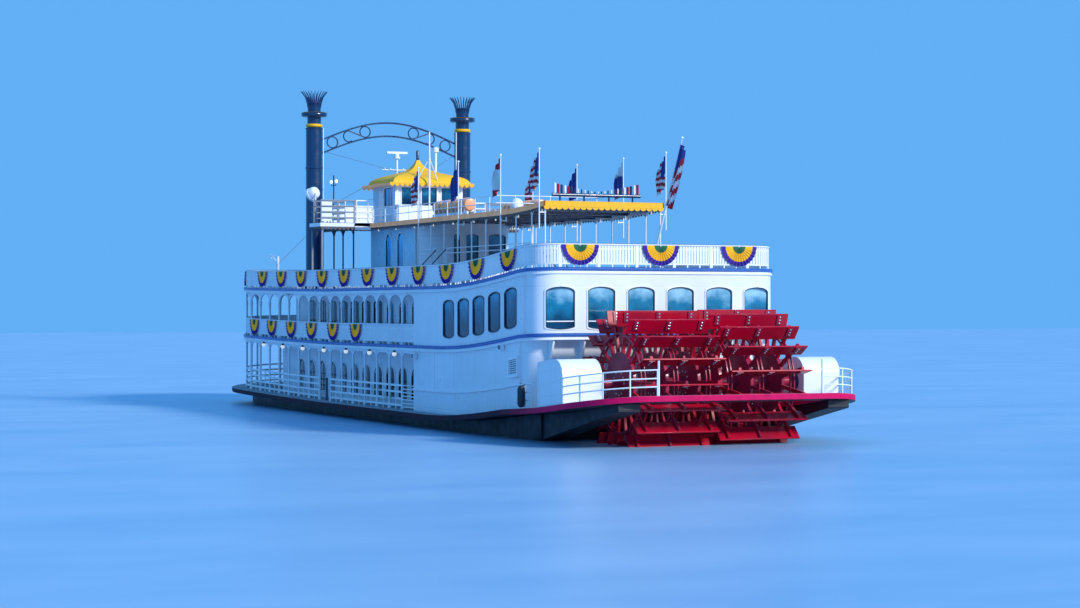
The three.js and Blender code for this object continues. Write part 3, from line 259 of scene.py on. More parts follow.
class Finish:
    """A material whose nodes are added one by one."""

    def __init__(self, name):
        self.material = bpy.data.materials.new(name)
        self.material.use_nodes = True
        self.nodes, self.links = self.material.node_tree.nodes, self.material.node_tree.links
        self.shader = self.nodes["Principled BSDF"]
        self.place = self.nodes.new("ShaderNodeTexCoord").outputs["Object"]

    def feed(self, socket, value):
        """Links a value that another node makes, or sets a plain one."""
        if isinstance(value, bpy.types.NodeSocket):
            self.links.new(value, socket)
        else:
            socket.default_value = value

    def node(self, kind, inputs=None, **settings):
        node = self.nodes.new("ShaderNode" + kind)
        for key, value in settings.items():
            setattr(node, key, value)
        for key, value in (inputs or {}).items():
            self.feed(node.inputs[key], value)
        return node

    def noise(self, scale, stretch=(1, 1, 1), detail=3.0):
        moved = self.node("Mapping", {"Vector": self.place, "Scale": stretch})
        inputs = {"Vector": moved.outputs[0], "Scale": scale, "Detail": detail}
        return self.node("TexNoise", inputs).outputs["Fac"]

    def mix(self, share, a, b, blend="MIX"):
        """Mixes two colours. A node of this kind keeps its colours at inputs 6 and 7 and output 2."""
        a, b = [(*colour, 1) if isinstance(colour, tuple) else colour for colour in (a, b)]
        return self.node("Mix", {0: share, 6: a, 7: b}, data_type="RGBA", blend_type=blend).outputs[2]

    def between(self, value, low, high, to_low=0.0, to_high=1.0):
        """Stretches low to high out to another range, and cuts off what is past it."""
        inputs = {"Value": value, "From Min": low, "From Max": high, "To Min": to_low, "To Max": to_high}
        return self.node("MapRange", inputs).outputs[0]

    def blend(self, value, low, high, a, b, most=1.0):
        """Colour a turning into b, by most at the most, where a value goes from low to high."""
        return self.mix(self.between(value, low, high, 0.0, most), a, b)

    def rough(self, value, low, high):
        """Sets the roughness by a noise value."""
        self.set(Roughness=self.between(value, 0.3, 0.8, low, high))

    def math(self, kind, a, b=0.0):
        return self.node("Math", {0: a, 1: b}, operation=kind).outputs[0]

    def set(self, **values):
        """Sets inputs of the surface, named with _ for each space."""
        for key, value in values.items():
            self.feed(self.shader.inputs[key.replace("_", " ")], value)

    def bump(self, height, strength, distance=0.01):
        bump = self.node("Bump", {"Height": height, "Strength": strength, "Distance": distance})
        self.links.new(bump.outputs[0], self.shader.inputs["Normal"])


def darker(colour, share):
    """A share of a colour's brightness."""
    return tuple(share * c for c in colour)


def paint(name, colour, worn, roughness=0.35, wear=0.5, streaks=0.35, coat=0.2):
    """Brushed marine enamel: cloudy colour, faint streaks down the surface and a few worn places."""
    finish = Finish(name)
    clouds = finish.noise(1.3)
    runs = finish.noise(9.0, (1, 1, 0.12), 4.0)
    chips = finish.noise(23.0, detail=5.0)
    soft = finish.blend(clouds, 0.35, 0.75, colour, darker(colour, 0.9))
    streaked = finish.blend(runs, 0.56, 0.85, soft, worn, streaks)
    chipped = finish.blend(chips, 0.70, 0.76, streaked, worn, wear)
    finish.set(Base_Color=chipped, Coat_Weight=coat, Coat_Roughness=0.25)
    finish.rough(finish.noise(5.0), roughness - 0.1, roughness + 0.14)
    finish.bump(finish.math("ADD", finish.noise(60.0), finish.math("MULTIPLY", clouds, 4.0)), 0.12)
    return finish.material


def plated(name, colour, worn, plate, roughness=0.35, streaks=0.4, coat=0.15):
    """Painted steel plates with welded seams that show as shallow lines."""
    finish = Finish(name)
    split = finish.node("SeparateXYZ", {"Vector": finish.place}).outputs
    turned = finish.node("CombineXYZ", {"X": split["X"], "Y": split["Z"], "Z": 0.0}).outputs[0]
    seams = finish.node("TexBrick", {
        "Vector": turned, "Scale": 1.0, "Brick Width": plate[0], "Row Height": plate[1],
        "Mortar Size": 0.006, "Mortar Smooth": 0.6, "Bias": 0.0,
        "Color1": (1, 1, 1, 1), "Color2": (0.94, 0.94, 0.94, 1), "Mortar": (0.55, 0.55, 0.55, 1),
    }, offset=0.0).outputs["Color"]
    clouds = finish.noise(0.8)
    runs = finish.noise(7.0, (1, 1, 0.1), 4.0)
    base = finish.blend(clouds, 0.3, 0.75, colour, darker(colour, 0.88))
    streaked = finish.blend(runs, 0.55, 0.85, base, worn, streaks)
    lined = finish.mix(0.5, streaked, seams, "MULTIPLY")
    finish.set(Base_Color=lined, Coat_Weight=coat, Coat_Roughness=0.3)
    finish.rough(finish.noise(4.0), roughness - 0.08, roughness + 0.15)
    finish.bump(finish.math("ADD", seams, finish.math("MULTIPLY", clouds, 1.2)), 0.35)
    return finish.material


def deck_paint():
    """Grit paint, scuffed along the boat."""
    finish = Finish("deck_paint")
    grit = finish.noise(180.0)
    scuffs = finish.noise(3.0, (0.3, 1, 1), 5.0)
    base = finish.blend(scuffs, 0.4, 0.8, (0.24, 0.28, 0.33), (0.36, 0.38, 0.4))
    gritty = finish.blend(grit, 0.4, 0.8, base, (0.14, 0.15, 0.17), 0.4)
    finish.set(Base_Color=gritty, Roughness=0.8)
    finish.bump(grit, 0.5, 0.004)
    return finish.material


def wheel_paint(name, colour, dark):
    """Red paint on wet boards: dark blotches, fine grain and a wet shine."""
    finish = Finish(name)
    blotches = finish.noise(2.6, (1, 0.5, 1), 5.0)
    grain = finish.noise(14.0, (1, 0.08, 1), 4.0)
    base = finish.blend(blotches, 0.48, 0.8, colour, dark, 0.8)
    grained = finish.blend(grain, 0.5, 0.85, base, darker(colour, 0.55), 0.45)
    finish.set(Base_Color=grained, Coat_Weight=0.12, Coat_Roughness=0.12, Specular_IOR_Level=0.25)
    finish.rough(blotches, 0.28, 0.5)
    finish.bump(grain, 0.3)
    return finish.material


def edge_paint():
    """Rub rail: crimson round the fantail, near black along the sides."""
    finish = Finish("edge_paint")
    along = finish.node("SeparateXYZ", {"Vector": finish.place}).outputs["X"]
    ahead = finish.between(along, model((-2.5, 0, 0))[0], model((2.5, 0, 0))[0])
    scuffs = finish.noise(6.0, (0.4, 1, 1), 5.0)
    dull = finish.blend(scuffs, 0.4, 0.75, (0.05, 0.008, 0.022), (0.012, 0.012, 0.022))
    bright = finish.blend(scuffs, 0.45, 0.8, (0.66, 0.003, 0.10), (0.36, 0.003, 0.06), 0.7)
    finish.set(Base_Color=finish.mix(ahead, bright, dull), Roughness=0.6, Specular_IOR_Level=0.15)
    finish.bump(scuffs, 0.2)
    return finish.material


def glass(name, foot, middle, head):
    """Glass with a painted reflection of the sky: its colour runs from dark at the window's foot to pale at
    its head.
    """
    finish = Finish(name)
    reflection_height = finish.node("Attribute", attribute_name="reflection_height").outputs["Fac"]
    drift = finish.math("MULTIPLY", finish.math("SUBTRACT", finish.noise(3.2, detail=4.0), 0.5), 0.9)
    share = finish.math("ADD", reflection_height, drift)
    # Painted sky reflection: dark at the foot, pale at the head.
    low = finish.blend(share, 0.2, 0.6, foot, middle)
    finish.set(Base_Color=finish.blend(share, 0.62, 1.0, low, head))
    finish.set(Roughness=0.07, Specular_IOR_Level=0.7)
    return finish.material


def cloth(name, colour, glow=0.0):
    """Dyed bunting with a fine weave and a soft sheen. glow is painted light: the cloth gives off light of
    its own colour.
    """
    finish = Finish(name)
    threads = finish.node("TexWave", {"Vector": finish.place, "Scale": 55.0, "Distortion": 0.6},
                          bands_direction="Z").outputs["Fac"]
    fade = finish.noise(4.0)
    soft = finish.blend(fade, 0.35, 0.75, colour, darker(colour, 0.72))
    woven = finish.blend(threads, 0, 1, soft, darker(colour, 0.5), 0.16)
    finish.set(Base_Color=woven, Roughness=0.85, Sheen_Weight=0.2, Sheen_Roughness=0.5)
    # Painted glow: the cloth gives off light of its own colour, though it is no lamp.
    finish.set(Emission_Color=woven, Emission_Strength=glow)
    finish.bump(threads, 0.25, 0.002)
    return finish.material


def metal(name, colour, roughness=0.35, metallic=0.9):
    """Bare metal with smears along it."""
    finish = Finish(name)
    smears = finish.noise(8.0, (1, 1, 0.3), 5.0)
    finish.set(Base_Color=finish.blend(smears, 0.4, 0.8, colour, darker(colour, 0.55)))
    finish.set(Metallic=metallic)
    finish.rough(smears, roughness - 0.1, roughness + 0.2)
    finish.bump(finish.noise(90.0), 0.1)
    return finish.material


def moulded(name, colour, roughness=0.3, glow=0.0):
    """Moulded plastic: faint ripples and a little dust. glow is for a lit lamp."""
    finish = Finish(name)
    ripples = finish.noise(11.0)
    finish.set(Base_Color=finish.blend(ripples, 0.4, 0.8, colour, darker(colour, 0.85)))
    finish.rough(ripples, roughness - 0.1, roughness + 0.2)
    finish.set(Emission_Color=(*colour, 1), Emission_Strength=glow)
    finish.bump(ripples, 0.1)
    return finish.material


WHITE = paint("trim_white", (0.86, 0.89, 0.93), (0.5, 0.52, 0.5), streaks=0.2, wear=0.25)
HOUSE = plated("house_white", (0.84, 0.87, 0.92), (0.55, 0.56, 0.55), (1.22, 1.45), streaks=0.22)
BLUE = paint("texas_blue", (0.40, 0.72, 0.93), (0.25, 0.45, 0.6), streaks=0.25, wear=0.2)
TRIM_BLUE = paint("edge_blue", (0.035, 0.14, 0.46), (0.02, 0.07, 0.2), wear=0.3)
NAVY = paint("chimney_navy", (0.002, 0.03, 0.10), (0.05, 0.07, 0.12), roughness=0.25, coat=0.5, wear=0.15)
HULL = plated("hull_black", (0.004, 0.006, 0.014), (0.02, 0.02, 0.026), (2.4, 0.9), roughness=0.5, coat=0)
DECK = deck_paint()
EDGE_RED = edge_paint()
RED = wheel_paint("wheel_red", (0.46, 0.0008, 0.022), (0.18, 0.0008, 0.022))
DARK_RED = wheel_paint("wheel_dark_red", (0.36, 0.012, 0.05), (0.14, 0.006, 0.035))
YELLOW = paint("roof_yellow", (0.97, 0.50, 0.002), (0.6, 0.28, 0.006), roughness=0.6, wear=0.25, streaks=0.3,
               coat=0)
# Each glass below is dark at its windows' foot and pale at their head: a painted reflection of the sky. The
# stern glass has the palest head.
GLASS = glass("window_glass", (0.002, 0.02, 0.06), (0.004, 0.09, 0.19), (0.03, 0.30, 0.45))
PAINTED_SKY_STERN_GLASS = glass("stern_glass", (0.002, 0.045, 0.11), (0.008, 0.19, 0.34), (0.32, 0.60, 0.75))
DARK_GLASS = glass("dark_glass", (0.002, 0.008, 0.022), (0.003, 0.02, 0.05), (0.01, 0.07, 0.13))
# Pale blue all over: painted reflection of the sky across the whole pane.
PAINTED_SKY_GLASS = glass("painted_sky_glass", (0.006, 0.26, 0.52), (0.01, 0.42, 0.82), (0.06, 0.6, 0.98))
BOLT = metal("bolt_zinc", (0.72, 0.74, 0.76), 0.3, 0.6)
STEEL = metal("shaft_steel", (0.42, 0.44, 0.47))
BRASS = metal("pipe_brass", (0.55, 0.35, 0.1), 0.3, 0.9)
TOOTH = paint("valance_teeth", (0.10, 0.085, 0.08), (0.05, 0.045, 0.045), roughness=0.6, coat=0)
ORANGE = moulded("raft_orange", (0.98, 0.40, 0.18))
PLASTIC = moulded("dome_plastic", (0.86, 0.88, 0.9))
RUBBER = moulded("gasket_black", (0.015, 0.03, 0.05), 0.5)
LAMP = moulded("lamp_white", (0.95, 0.93, 0.82), 0.2, 0.5)
CLOTHS = {
    "purple": cloth("bunting_purple", (0.045, 0.008, 0.33)),
    # The gold bunting glows a little: painted light.
    "gold": cloth("bunting_gold", (0.95, 0.50, 0.002), 0.12),
    "green": cloth("bunting_green", (0.01, 0.17, 0.07)),
    "red": cloth("flag_red", (0.55, 0.015, 0.04)),
    "white": cloth("flag_white", (0.85, 0.86, 0.88)),
    "blue": cloth("flag_blue", (0.02, 0.05, 0.30)),
}
# Painted shade and painted glow: a tan copy of the roof's yellow that gives off light, standing in for the
# yellow valances as they look in blue shade.
PAINTED_SHADE_YELLOW = cloth("valance_painted_shade_yellow", (0.8, 0.42, 0.2), 0.22)

# Plan paths and outlines


def line_places(start, end):
    """Places from one end to the other, with every bay line between them."""
    low, high = min(start, end), max(start, end)
    lines = [n * BAY for n in range(math.ceil(low / BAY + 0.01), math.ceil(high / BAY - 0.01))]
    inside = [low, *lines, high]
    return inside if start < end else inside[::-1]


def side_path(start, end, y):
    """A plan path along one side."""
    return [(q, y) for q in line_places(start, end)]


def rectangle(a0, a1, b0, b1):
    """Outline of a rectangle, from its two pairs of limits."""
    return [(a0, b0), (a1, b0), (a1, b1), (a0, b1)]


def flat_ring(inner, outer, low, high):
    """Profile of a flat ring, for lathe."""
    return [*rectangle(inner, outer, low, high), (inner, low)]


def arc(a, b, wide, tall, start, end, parts):
    """Points on an ellipse round (a, b), from one angle to another."""
    return [(a + wide * math.cos(t), b + tall * math.sin(t)) for t in steps(start, end, parts)]


def bow_path(reach, half, start=BOW):
    """From port round the bow to starboard."""
    return arc(start, 0, reach, half, *BOW_TURN, 28)


def round_bow(turn, out=0.0):
    """The place on the rails' line round the bow, at an angle from dead ahead and out from the line."""
    return BOW + (BOW_REACH + out) * math.cos(turn), (EDGE + out) * math.sin(turn)


def stern_path(stern, corner, half, ahead, parts=10):
    """From starboard round the stern to port."""
    bend = [(stern + corner * (1 - math.sin(a)), half - corner * (1 - math.cos(a)))
            for a in steps(0, math.pi / 2, parts)]
    port = [*side_path(ahead, stern + corner + 0.01, half), *bend]
    return [(q, -y) for q, y in port] + port[::-1]


def walk(path, pitch, start=0.0):
    """Places at an even pitch along a plan path: q, y and the direction there."""
    found, left = [], start
    for (q0, y0), (q1, y1) in zip(path, path[1:]):
        length = math.hypot(q1 - q0, y1 - y0)
        along = ((q1 - q0) / length, (y1 - y0) / length)
        while left < length:
            found.append((q0 + along[0] * left, y0 + along[1] * left, along))
            left += pitch
        left -= length
    return found


def on_side(sign):
    """Lays a shape on one side of the boat: a is the place ahead, b the height, depth is outward."""
    return lambda a, b, depth: (a, sign * depth, b)


def across(a, b, depth):
    """Lays a shape athwart: a is the place to port, b the height, depth the place ahead."""
    return (depth, a, b)


def round_wall(stern, corner, half):
    """Lays a shape on a house's round aft wall: a is the place to port, depth is outward."""
    def lay(a, b, depth):
        over = max(0.0, abs(a) - (half - corner))
        return (stern + corner - math.sqrt(max(0.0, corner ** 2 - over ** 2)) - depth, a, b)
    return lay


def window(at, width, low, high, crown=0.0, foot=0.0, grow=0.0):
    """Outline of a window with a curved head and foot, larger all round by grow."""
    half, parts = width / 2 + grow, 10
    low, high = low - grow, high + grow
    head, sill = [(at + half, high), (at - half, high)], [(at - half, low), (at + half, low)]
    if crown:
        head = arc(at, high - crown, half, crown, 0, math.pi, parts)
    if foot:
        sill = arc(at, low + foot, half, foot, math.pi, 2 * math.pi, parts)
    return head + sill


def plank(shape, q, y, along, width, thick, low, high, **how):
    """An upright board across a path, centred on it."""
    corners = [(-1, -1), (1, -1), (1, 1), (-1, 1)]
    points = []
    for z in (low, high):
        for i, j in corners:
            points.append((q + along[0] * i * width / 2 - along[1] * j * thick / 2,
                           y + along[1] * i * width / 2 + along[0] * j * thick / 2, z))
    shape.rings(points, 2, 4, sheer=True, **how)


def strip(shape, places, port, starboard, low, high):
    """A deck between two edges. Its top has finish 0, its edges 1 and its underside 2."""
    points = []
    for q in places:
        points += [(q, port(q), high), (q, port(q), low), (q, starboard(q), low), (q, starboard(q), high)]
    count = len(places)
    shape.rings(points, count, 4, sheer=True, finish=1)
    first = len(shape.faces) - (count - 1) * 4 - 2
    for i in range(count - 1):
        shape.finishes[first + i * 4 + 3] = 0
        shape.finishes[first + i * 4 + 1] = 2


def full_strip(shape, places, half, low, high):
    """A deck as wide to starboard as to port. half(q) is half its width."""
    strip(shape, places, half, lambda q: -half(q), low, high)


def flat_rail(low, high, half=0.035):
    """Profile of a board on edge, for sweep."""
    return rectangle(-half, half, low, high)


def ellipse_places(start, reach):
    """Places along a quarter ellipse, closer together towards its tip."""
    return [start + reach * math.sin(a) for a in steps(0, math.pi / 2, 14)]


def elliptic(half, start, reach):
    """Half width of a deck that narrows in a quarter ellipse from start on."""
    tip = 0.06

    def width(q):
        share = min(1.0, max(0.0, (q - start) / reach))
        return max(tip, half * math.sqrt(1 - share ** 2))
    return width


def carve(piece, cutter):
    """Cuts the solids of a shape out of a piece."""
    mesh = bpy.data.meshes.new("cutter")
    mesh.from_pydata([model(p) for p in cutter.points], [], cutter.faces)
    tool = bpy.data.objects.new("cutter", mesh)
    bpy.context.scene.collection.objects.link(tool)
    cut = piece.modifiers.new("cut", "BOOLEAN")
    cut.operation, cut.solver, cut.object = "DIFFERENCE", "EXACT", tool
    bpy.context.view_layer.update()
    made = bpy.data.meshes.new_from_object(piece.evaluated_get(bpy.context.evaluated_depsgraph_get()))
    piece.modifiers.clear()
    piece.data = made
    made.polygons.foreach_set("use_smooth", [True] * len(made.polygons))
    made.set_sharp_from_angle(angle=math.radians(35))
    bpy.data.objects.remove(tool)


# Camera, light and floor


def view():
    """The photo's camera: off the port quarter, just above the main deck, in metres of the model."""
    place, aim, far = (-55.55, 22.9, 3.85), (0.9135, -0.4067, 0.0022), 400
    camera = bpy.data.objects.new("camera", bpy.data.cameras.new("camera"))
    camera.location = place
    camera.rotation_euler = Vector(aim).to_track_quat("-Z", "Y").to_euler()
    camera.data.lens, camera.data.sensor_width, camera.data.clip_end = 75.1, 36, far
    bpy.context.scene.collection.objects.link(camera)
    bpy.context.scene.camera = camera


def light(name, towards, strength, colour, spread):
    """A sun that stands towards a direction. spread is the width of its disc in degrees."""
    lamp = bpy.data.lights.new(name, "SUN")
    lamp.energy, lamp.color, lamp.angle = strength, colour, math.radians(spread)
    sun = bpy.data.objects.new(name, lamp)
    sun.rotation_euler = (-Vector(towards)).to_track_quat("-Z", "Y").to_euler()
    bpy.context.scene.collection.objects.link(sun)


def floor():
    """A pale calm floor at the water's height, a little darker in ripples."""
    finish = Finish("calm_floor")
    ripples = finish.noise(0.5, (1, 0.4, 1), 4.0)
    colour = finish.blend(ripples, 0.3, 0.8, (0.30, 0.50, 0.72), (0.20, 0.40, 0.64))
    finish.set(Base_Color=colour)
    finish.set(Roughness=0.35)
    mesh = bpy.data.meshes.new("calm_floor")
    far, level = 220, DRAFT * SCALE
    mesh.from_pydata([(-far, -far, level), (far, -far, level), (far, far, level), (-far, far, level)], [],
                     [(0, 1, 2, 3)])
    mesh.materials.append(finish.material)
    sheet = bpy.data.objects.new("calm_floor", mesh)
    bpy.context.scene.collection.objects.link(sheet)


view()
light("sun", (-0.8, -0.42, 0.5), 3.5, (1.0, 0.97, 0.94), 10)
world = bpy.data.worlds.new("sky")
world.use_nodes = True
sky = world.node_tree.nodes["Background"].inputs
sky["Color"].default_value, sky["Strength"].default_value = (0.125, 0.43, 0.92, 1), 1.0
bpy.context.scene.world = world
bpy.context.scene.view_settings.view_transform = "Standard"
floor()

# Hull and decks


def hull():
    """Flat bottom, round bilge, raked stern, a spoon bow and the two beams under the fantail."""
    transom, flat_from, stem, side, bottom, bilge = 0.6, 6.5, 49.6, 5.6, 5.1, 0.5
    top, stern_low, stem_low = MAIN_TOP - 0.25, 0.15, 0.1
    places = [*steps(transom, flat_from, 12), *line_places(flat_from, NARROWS)[1:],
              *ellipse_places(NARROWS, stem - NARROWS)[1:]]
    shape, turns, points = Shape(), steps(0, math.pi / 2, 4), []
    for q in places:
        share = max(0.0, (q - NARROWS) / (stem - NARROWS))
        low = -DRAFT + (DRAFT - stem_low) * share ** 2.2
        if q < flat_from:
            raked = math.sin((q - transom) / (flat_from - transom) * math.pi / 2)
            low = -stern_low - (DRAFT - stern_low) * raked
        wide = math.sqrt(max(0.0004, 1 - share ** 2))
        half = [(side * wide, top + rise(q)), (side * wide, low + bilge)]
        half += [((bottom + (side - bottom) * math.cos(a)) * wide, low + bilge * (1 - math.sin(a)))
                 for a in turns[1:]]
        points += [(q, y, z) for y, z in half] + [(q, -y, z) for y, z in reversed(half)]
    shape.rings(points, len(places), 12)
    aft, fore, under = -6.9, 0.7, MAIN_TOP - 0.251
    for sign in (1, -1):
        outline = [(aft, under - 0.35), (fore, under - 1.15), (fore, under)]
        outline += [(q, under) for q in line_places(fore, aft)[1:]]
        shape.prism(outline, on_side(sign), 4.45, 5.5, sheer=True)
    make("hull_plating", shape, HULL, replaces=["hull"], bevel=0.03)


def fantail_edge(q):
    """Half width of the main deck, rounded off towards the stern."""
    if q >= FANTAIL:
        return GUARD_HALF
    share = min(1.0, max(0.0, (FANTAIL - q) / FANTAIL_REACH))
    return 4.0 + 2.9 * math.sqrt(1 - share ** 2)


def main_deck():
    """The deck with its fantail round the wheel well, and mooring bitts at the bow."""
    shape, low, reach = Shape(), MAIN_TOP - 0.25, 7.5
    well_aft, well_fore, well_half = -6.75, -0.05, 4.3
    curve = [FANTAIL - FANTAIL_REACH * math.sin(a) for a in steps(math.pi / 2, 0, 16)]
    astern = [q for q in curve if q < well_aft - 0.02] + [well_aft]
    beside = sorted([well_aft, *[q for q in curve if q > well_aft + 0.02], *line_places(-3.9, well_fore)])
    ahead = [*line_places(well_fore, NARROWS), *ellipse_places(NARROWS, reach)[1:]]
    full_strip(shape, ahead, elliptic(GUARD_HALF, NARROWS, reach), low, MAIN_TOP)
    strip(shape, beside, fantail_edge, lambda q: well_half, low, MAIN_TOP)
    strip(shape, beside, lambda q: -well_half, lambda q: -fantail_edge(q), low, MAIN_TOP)
    full_strip(shape, astern, fantail_edge, low, MAIN_TOP)
    make("main_deck_plating", shape, [DECK, EDGE_RED, HULL], replaces=["main_deck"],
         bevel=0.02)
    bitts, at, out = Shape(), 45.6, 2.2
    profile = [(0, 0), (0.17, 0), (0.17, 0.14), (0.13, 0.18), (0.12, 0.5), (0.17, 0.56), (0.17, 0.62),
               (0.14, 0.66), (0, 0.66)]
    for sign in (1, -1):
        y = sign * out
        for shift in (-0.4, 0.4):
            bitts.lathe(profile, (at + shift, y, MAIN_TOP + rise(at)), sides=20)
        bitts.block((at - 0.65, at + 0.65), (y - 0.2, y + 0.2), (MAIN_TOP - 0.02, MAIN_TOP + 0.12),
                    sheer=True)
    make("mooring_bitts", bitts, NAVY, bevel=0.015)


def upper_deck(node, top):
    """A deck over a house, with a blue moulding along its edge and a white fascia under it."""
    corner, reach = 1.2, 6.6
    stern = [corner * (1 - math.cos(a)) for a in steps(0, math.pi / 2, 10)]
    bow = elliptic(DECK_HALF, NARROWS, reach)

    def half(q):
        if q < corner:
            return DECK_HALF - corner + math.sqrt(max(0, corner ** 2 - (corner - q) ** 2))
        return bow(q)

    shape, moulding, fascia = Shape(), Shape(), Shape()
    places = [*stern, *line_places(corner, NARROWS)[1:], *ellipse_places(NARROWS, reach)[1:]]
    full_strip(shape, places, half, top - DECK_THICK, top)
    make(node + "_plating", shape, [DECK, WHITE, WHITE], replaces=[node])
    loop = [*side_path(corner, NARROWS, DECK_HALF), *bow_path(reach, DECK_HALF, NARROWS)[1:-1],
            *side_path(NARROWS, corner, -DECK_HALF), *stern_path(0, corner, DECK_HALF, corner + 0.02)[1:-1]]
    profile = [(-0.03, -0.02), (0.035, -0.02), (0.06, 0.02), (0.06, 0.07), (0.03, 0.09), (0.045, 0.13),
               (-0.03, 0.13)]
    moulding.sweep(loop, profile, top - 0.12, closed=True)
    make(node + "_moulding", moulding, TRIM_BLUE)
    fascia.sweep(loop, flat_rail(0, 0.05, 0.03), top - DECK_THICK, closed=True)
    make(node + "_fascia", fascia, WHITE)


hull()
main_deck()
upper_deck("saloon_deck", SALOON_TOP)
upper_deck("promenade_deck", PROMENADE_TOP)

# Houses

# Windows: width, lowest and highest point, and how far the head and the foot curve
SALOON_AFT = dict(width=1.3, low=4.4, high=6.19, crown=0.22, foot=0.18)
SALOON_STERN = dict(width=1.33, low=4.18, high=6.05, crown=0.22, foot=0.12)
SALOON_ARCHED = dict(width=1.05, low=4.5, high=6.2, crown=0.35)
SALOON_GLAZED = dict(width=1.45, low=4.3, high=6.25, crown=0.15)
MAIN_ARCHED = dict(width=1.25, low=1.15, high=2.8, crown=0.5)
TEXAS_GLAZED = dict(low=8.1, high=9.8, crown=0.12)
TEXAS_ARCHED = dict(width=0.95, low=8.1, high=9.95, crown=0.45)
STORE = dict(width=0.9, low=2.3, high=2.97)

# Round aft walls: stern face and corner radius
MAIN_STERN = (0.6, 1.0)
SALOON_ROUND = (0.02, 1.15)
TEXAS_ROUND = (22.0, 1.7)
TEXAS_HALF = 2.6


def in_bays(first, last, one, shift=0.5):
    """The same window in a row of bays."""
    return [dict(at=(n + shift) * BAY, **one) for n in range(first, last)]


def glaze(name, windows, lay, face, sheer=True, casing=WHITE, mullions=0, wide=0.08, pane=GLASS):
    """Panes, dark gaskets and casings for a row of windows in one wall. face is the wall's outer side."""
    panes, seals, frames = Shape(), Shape(), Shape()
    for one in windows:
        panes.prism(window(**one, grow=0.01), lay, face - 0.045, face - 0.03, with_reflection_height=True, sheer=sheer)
        seals.prism(window(**one, grow=0.01), lay, face - 0.03, face + 0.012,
                    holes=[window(**one, grow=-0.035)], sheer=sheer)
        frames.prism(window(**one, grow=wide), lay, face - 0.01, face + 0.035, holes=[window(**one)],
                     sheer=sheer)
        for i in range(mullions):
            at = one["at"] + one["width"] * ((i + 1) / (mullions + 1) - 0.5)
            top = one["high"] - one.get("crown", 0) * 0.3
            bar = rectangle(at - 0.025, at + 0.025, one["low"], top)
            frames.prism(bar, lay, face - 0.03, face, sheer=sheer)
    make(name + "_glass", panes, pane)
    make(name + "_gaskets", seals, RUBBER)
    make(name + "_casings", frames, casing, bevel=0.012)


def stern_plating(name, node, stern, corner, low, high, half=HOUSE_SIDE, windows=()):
    """The round aft wall of a house, with its windows cut out."""
    shape, path = Shape(), stern_path(stern, corner, half, stern + corner, parts=14)
    shape.sweep(path, [(0, low), (0, high), (-WALL, high), (-WALL, low)])
    piece = make(name, shape, HOUSE, replaces=[node])
    if windows:
        cutter = Shape()
        for one in windows:
            outline = [(a, b + rise(stern + 0.05)) for a, b in window(**one)]
            cutter.prism(outline, across, stern - 0.3, stern + 0.9)
        carve(piece, cutter)


def houses():
    """Plating and glazing of the main house, the saloon and the texas over it."""
    nodes = frame["nodes"]
    for side, sign in SIDES:
        for deck in ("main_house", "saloon"):
            dress(nodes[f"{deck}_{side}_wall"], HOUSE)
        lay = on_side(sign)
        glaze(f"saloon_aft_{side}", in_bays(1, 6, SALOON_AFT), lay, HOUSE_SIDE, casing=NAVY, wide=0.03)
        glaze(f"saloon_fore_{side}", in_bays(RECESSED, 12, SALOON_ARCHED), lay, RECESS, mullions=1)
        glaze(f"saloon_glazed_{side}", in_bays(12, 19, SALOON_GLAZED), lay, RECESS, mullions=1,
              pane=DARK_GLASS)
        glaze(f"main_house_{side}", in_bays(RECESSED, 20, MAIN_ARCHED), lay, RECESS, mullions=1,
              pane=DARK_GLASS)
        # The arched texas windows have glass with a painted sky reflection across the whole pane.
        glaze(f"texas_arched_{side}", in_bays(14, 16, TEXAS_ARCHED, 0), lay, TEXAS_HALF, pane=PAINTED_SKY_GLASS)
    for name in ("main_house_front_wall", "saloon_front_wall"):
        dress(nodes[name], HOUSE)
    dress(nodes["texas_walls"], BLUE)
    stern_plating("main_house_stern_plating", "main_house_stern_wall", *MAIN_STERN, MAIN_TOP,
                  SALOON_TOP - DECK_THICK - CLEAR)
    stern_windows = [dict(at=n * 1.96, **SALOON_STERN) for n in (-2.5, -1.5, -0.5, 0.5, 1.5, 2.5)]
    stern_plating("saloon_stern_plating", "saloon_stern_wall", *SALOON_ROUND, SALOON_TOP,
                  PROMENADE_TOP - DECK_THICK - CLEAR, windows=stern_windows)
    texas_windows = [dict(at=y, width=width, **TEXAS_GLAZED)
                     for y, width in ((-1.45, 1.2), (0.08, 0.7), (0.97, 0.35))]
    stern_plating("texas_aft_plating", "texas_aft_wall", *TEXAS_ROUND, PROMENADE_TOP,
                  ROOF_TOP - ROOF_THICK - 0.01, half=TEXAS_HALF, windows=texas_windows)
    glaze("texas_aft", texas_windows, round_wall(*TEXAS_ROUND, TEXAS_HALF), 0, wide=0.05)
    bars, lay = Shape(), round_wall(*SALOON_ROUND, HOUSE_SIDE)
    # The stern windows' glass is pale towards their heads: painted sky reflection.
    glaze("saloon_stern", stern_windows, lay, 0, wide=0.05, pane=PAINTED_SKY_STERN_GLASS)
    for one in stern_windows:
        low, half = one["low"] + 0.33, one["width"] / 2
        bar = rectangle(one["at"] - half, one["at"] + half, low, low + 0.05)
        bars.prism(bar, lay, -0.03, 0.01, sheer=True)
    make("saloon_stern_bars", bars, WHITE)
    main_house_trim()


def dress(node, finish):
    """Gives a CAD node its finish."""
    node.data.materials.clear()
    node.data.materials.append(finish)


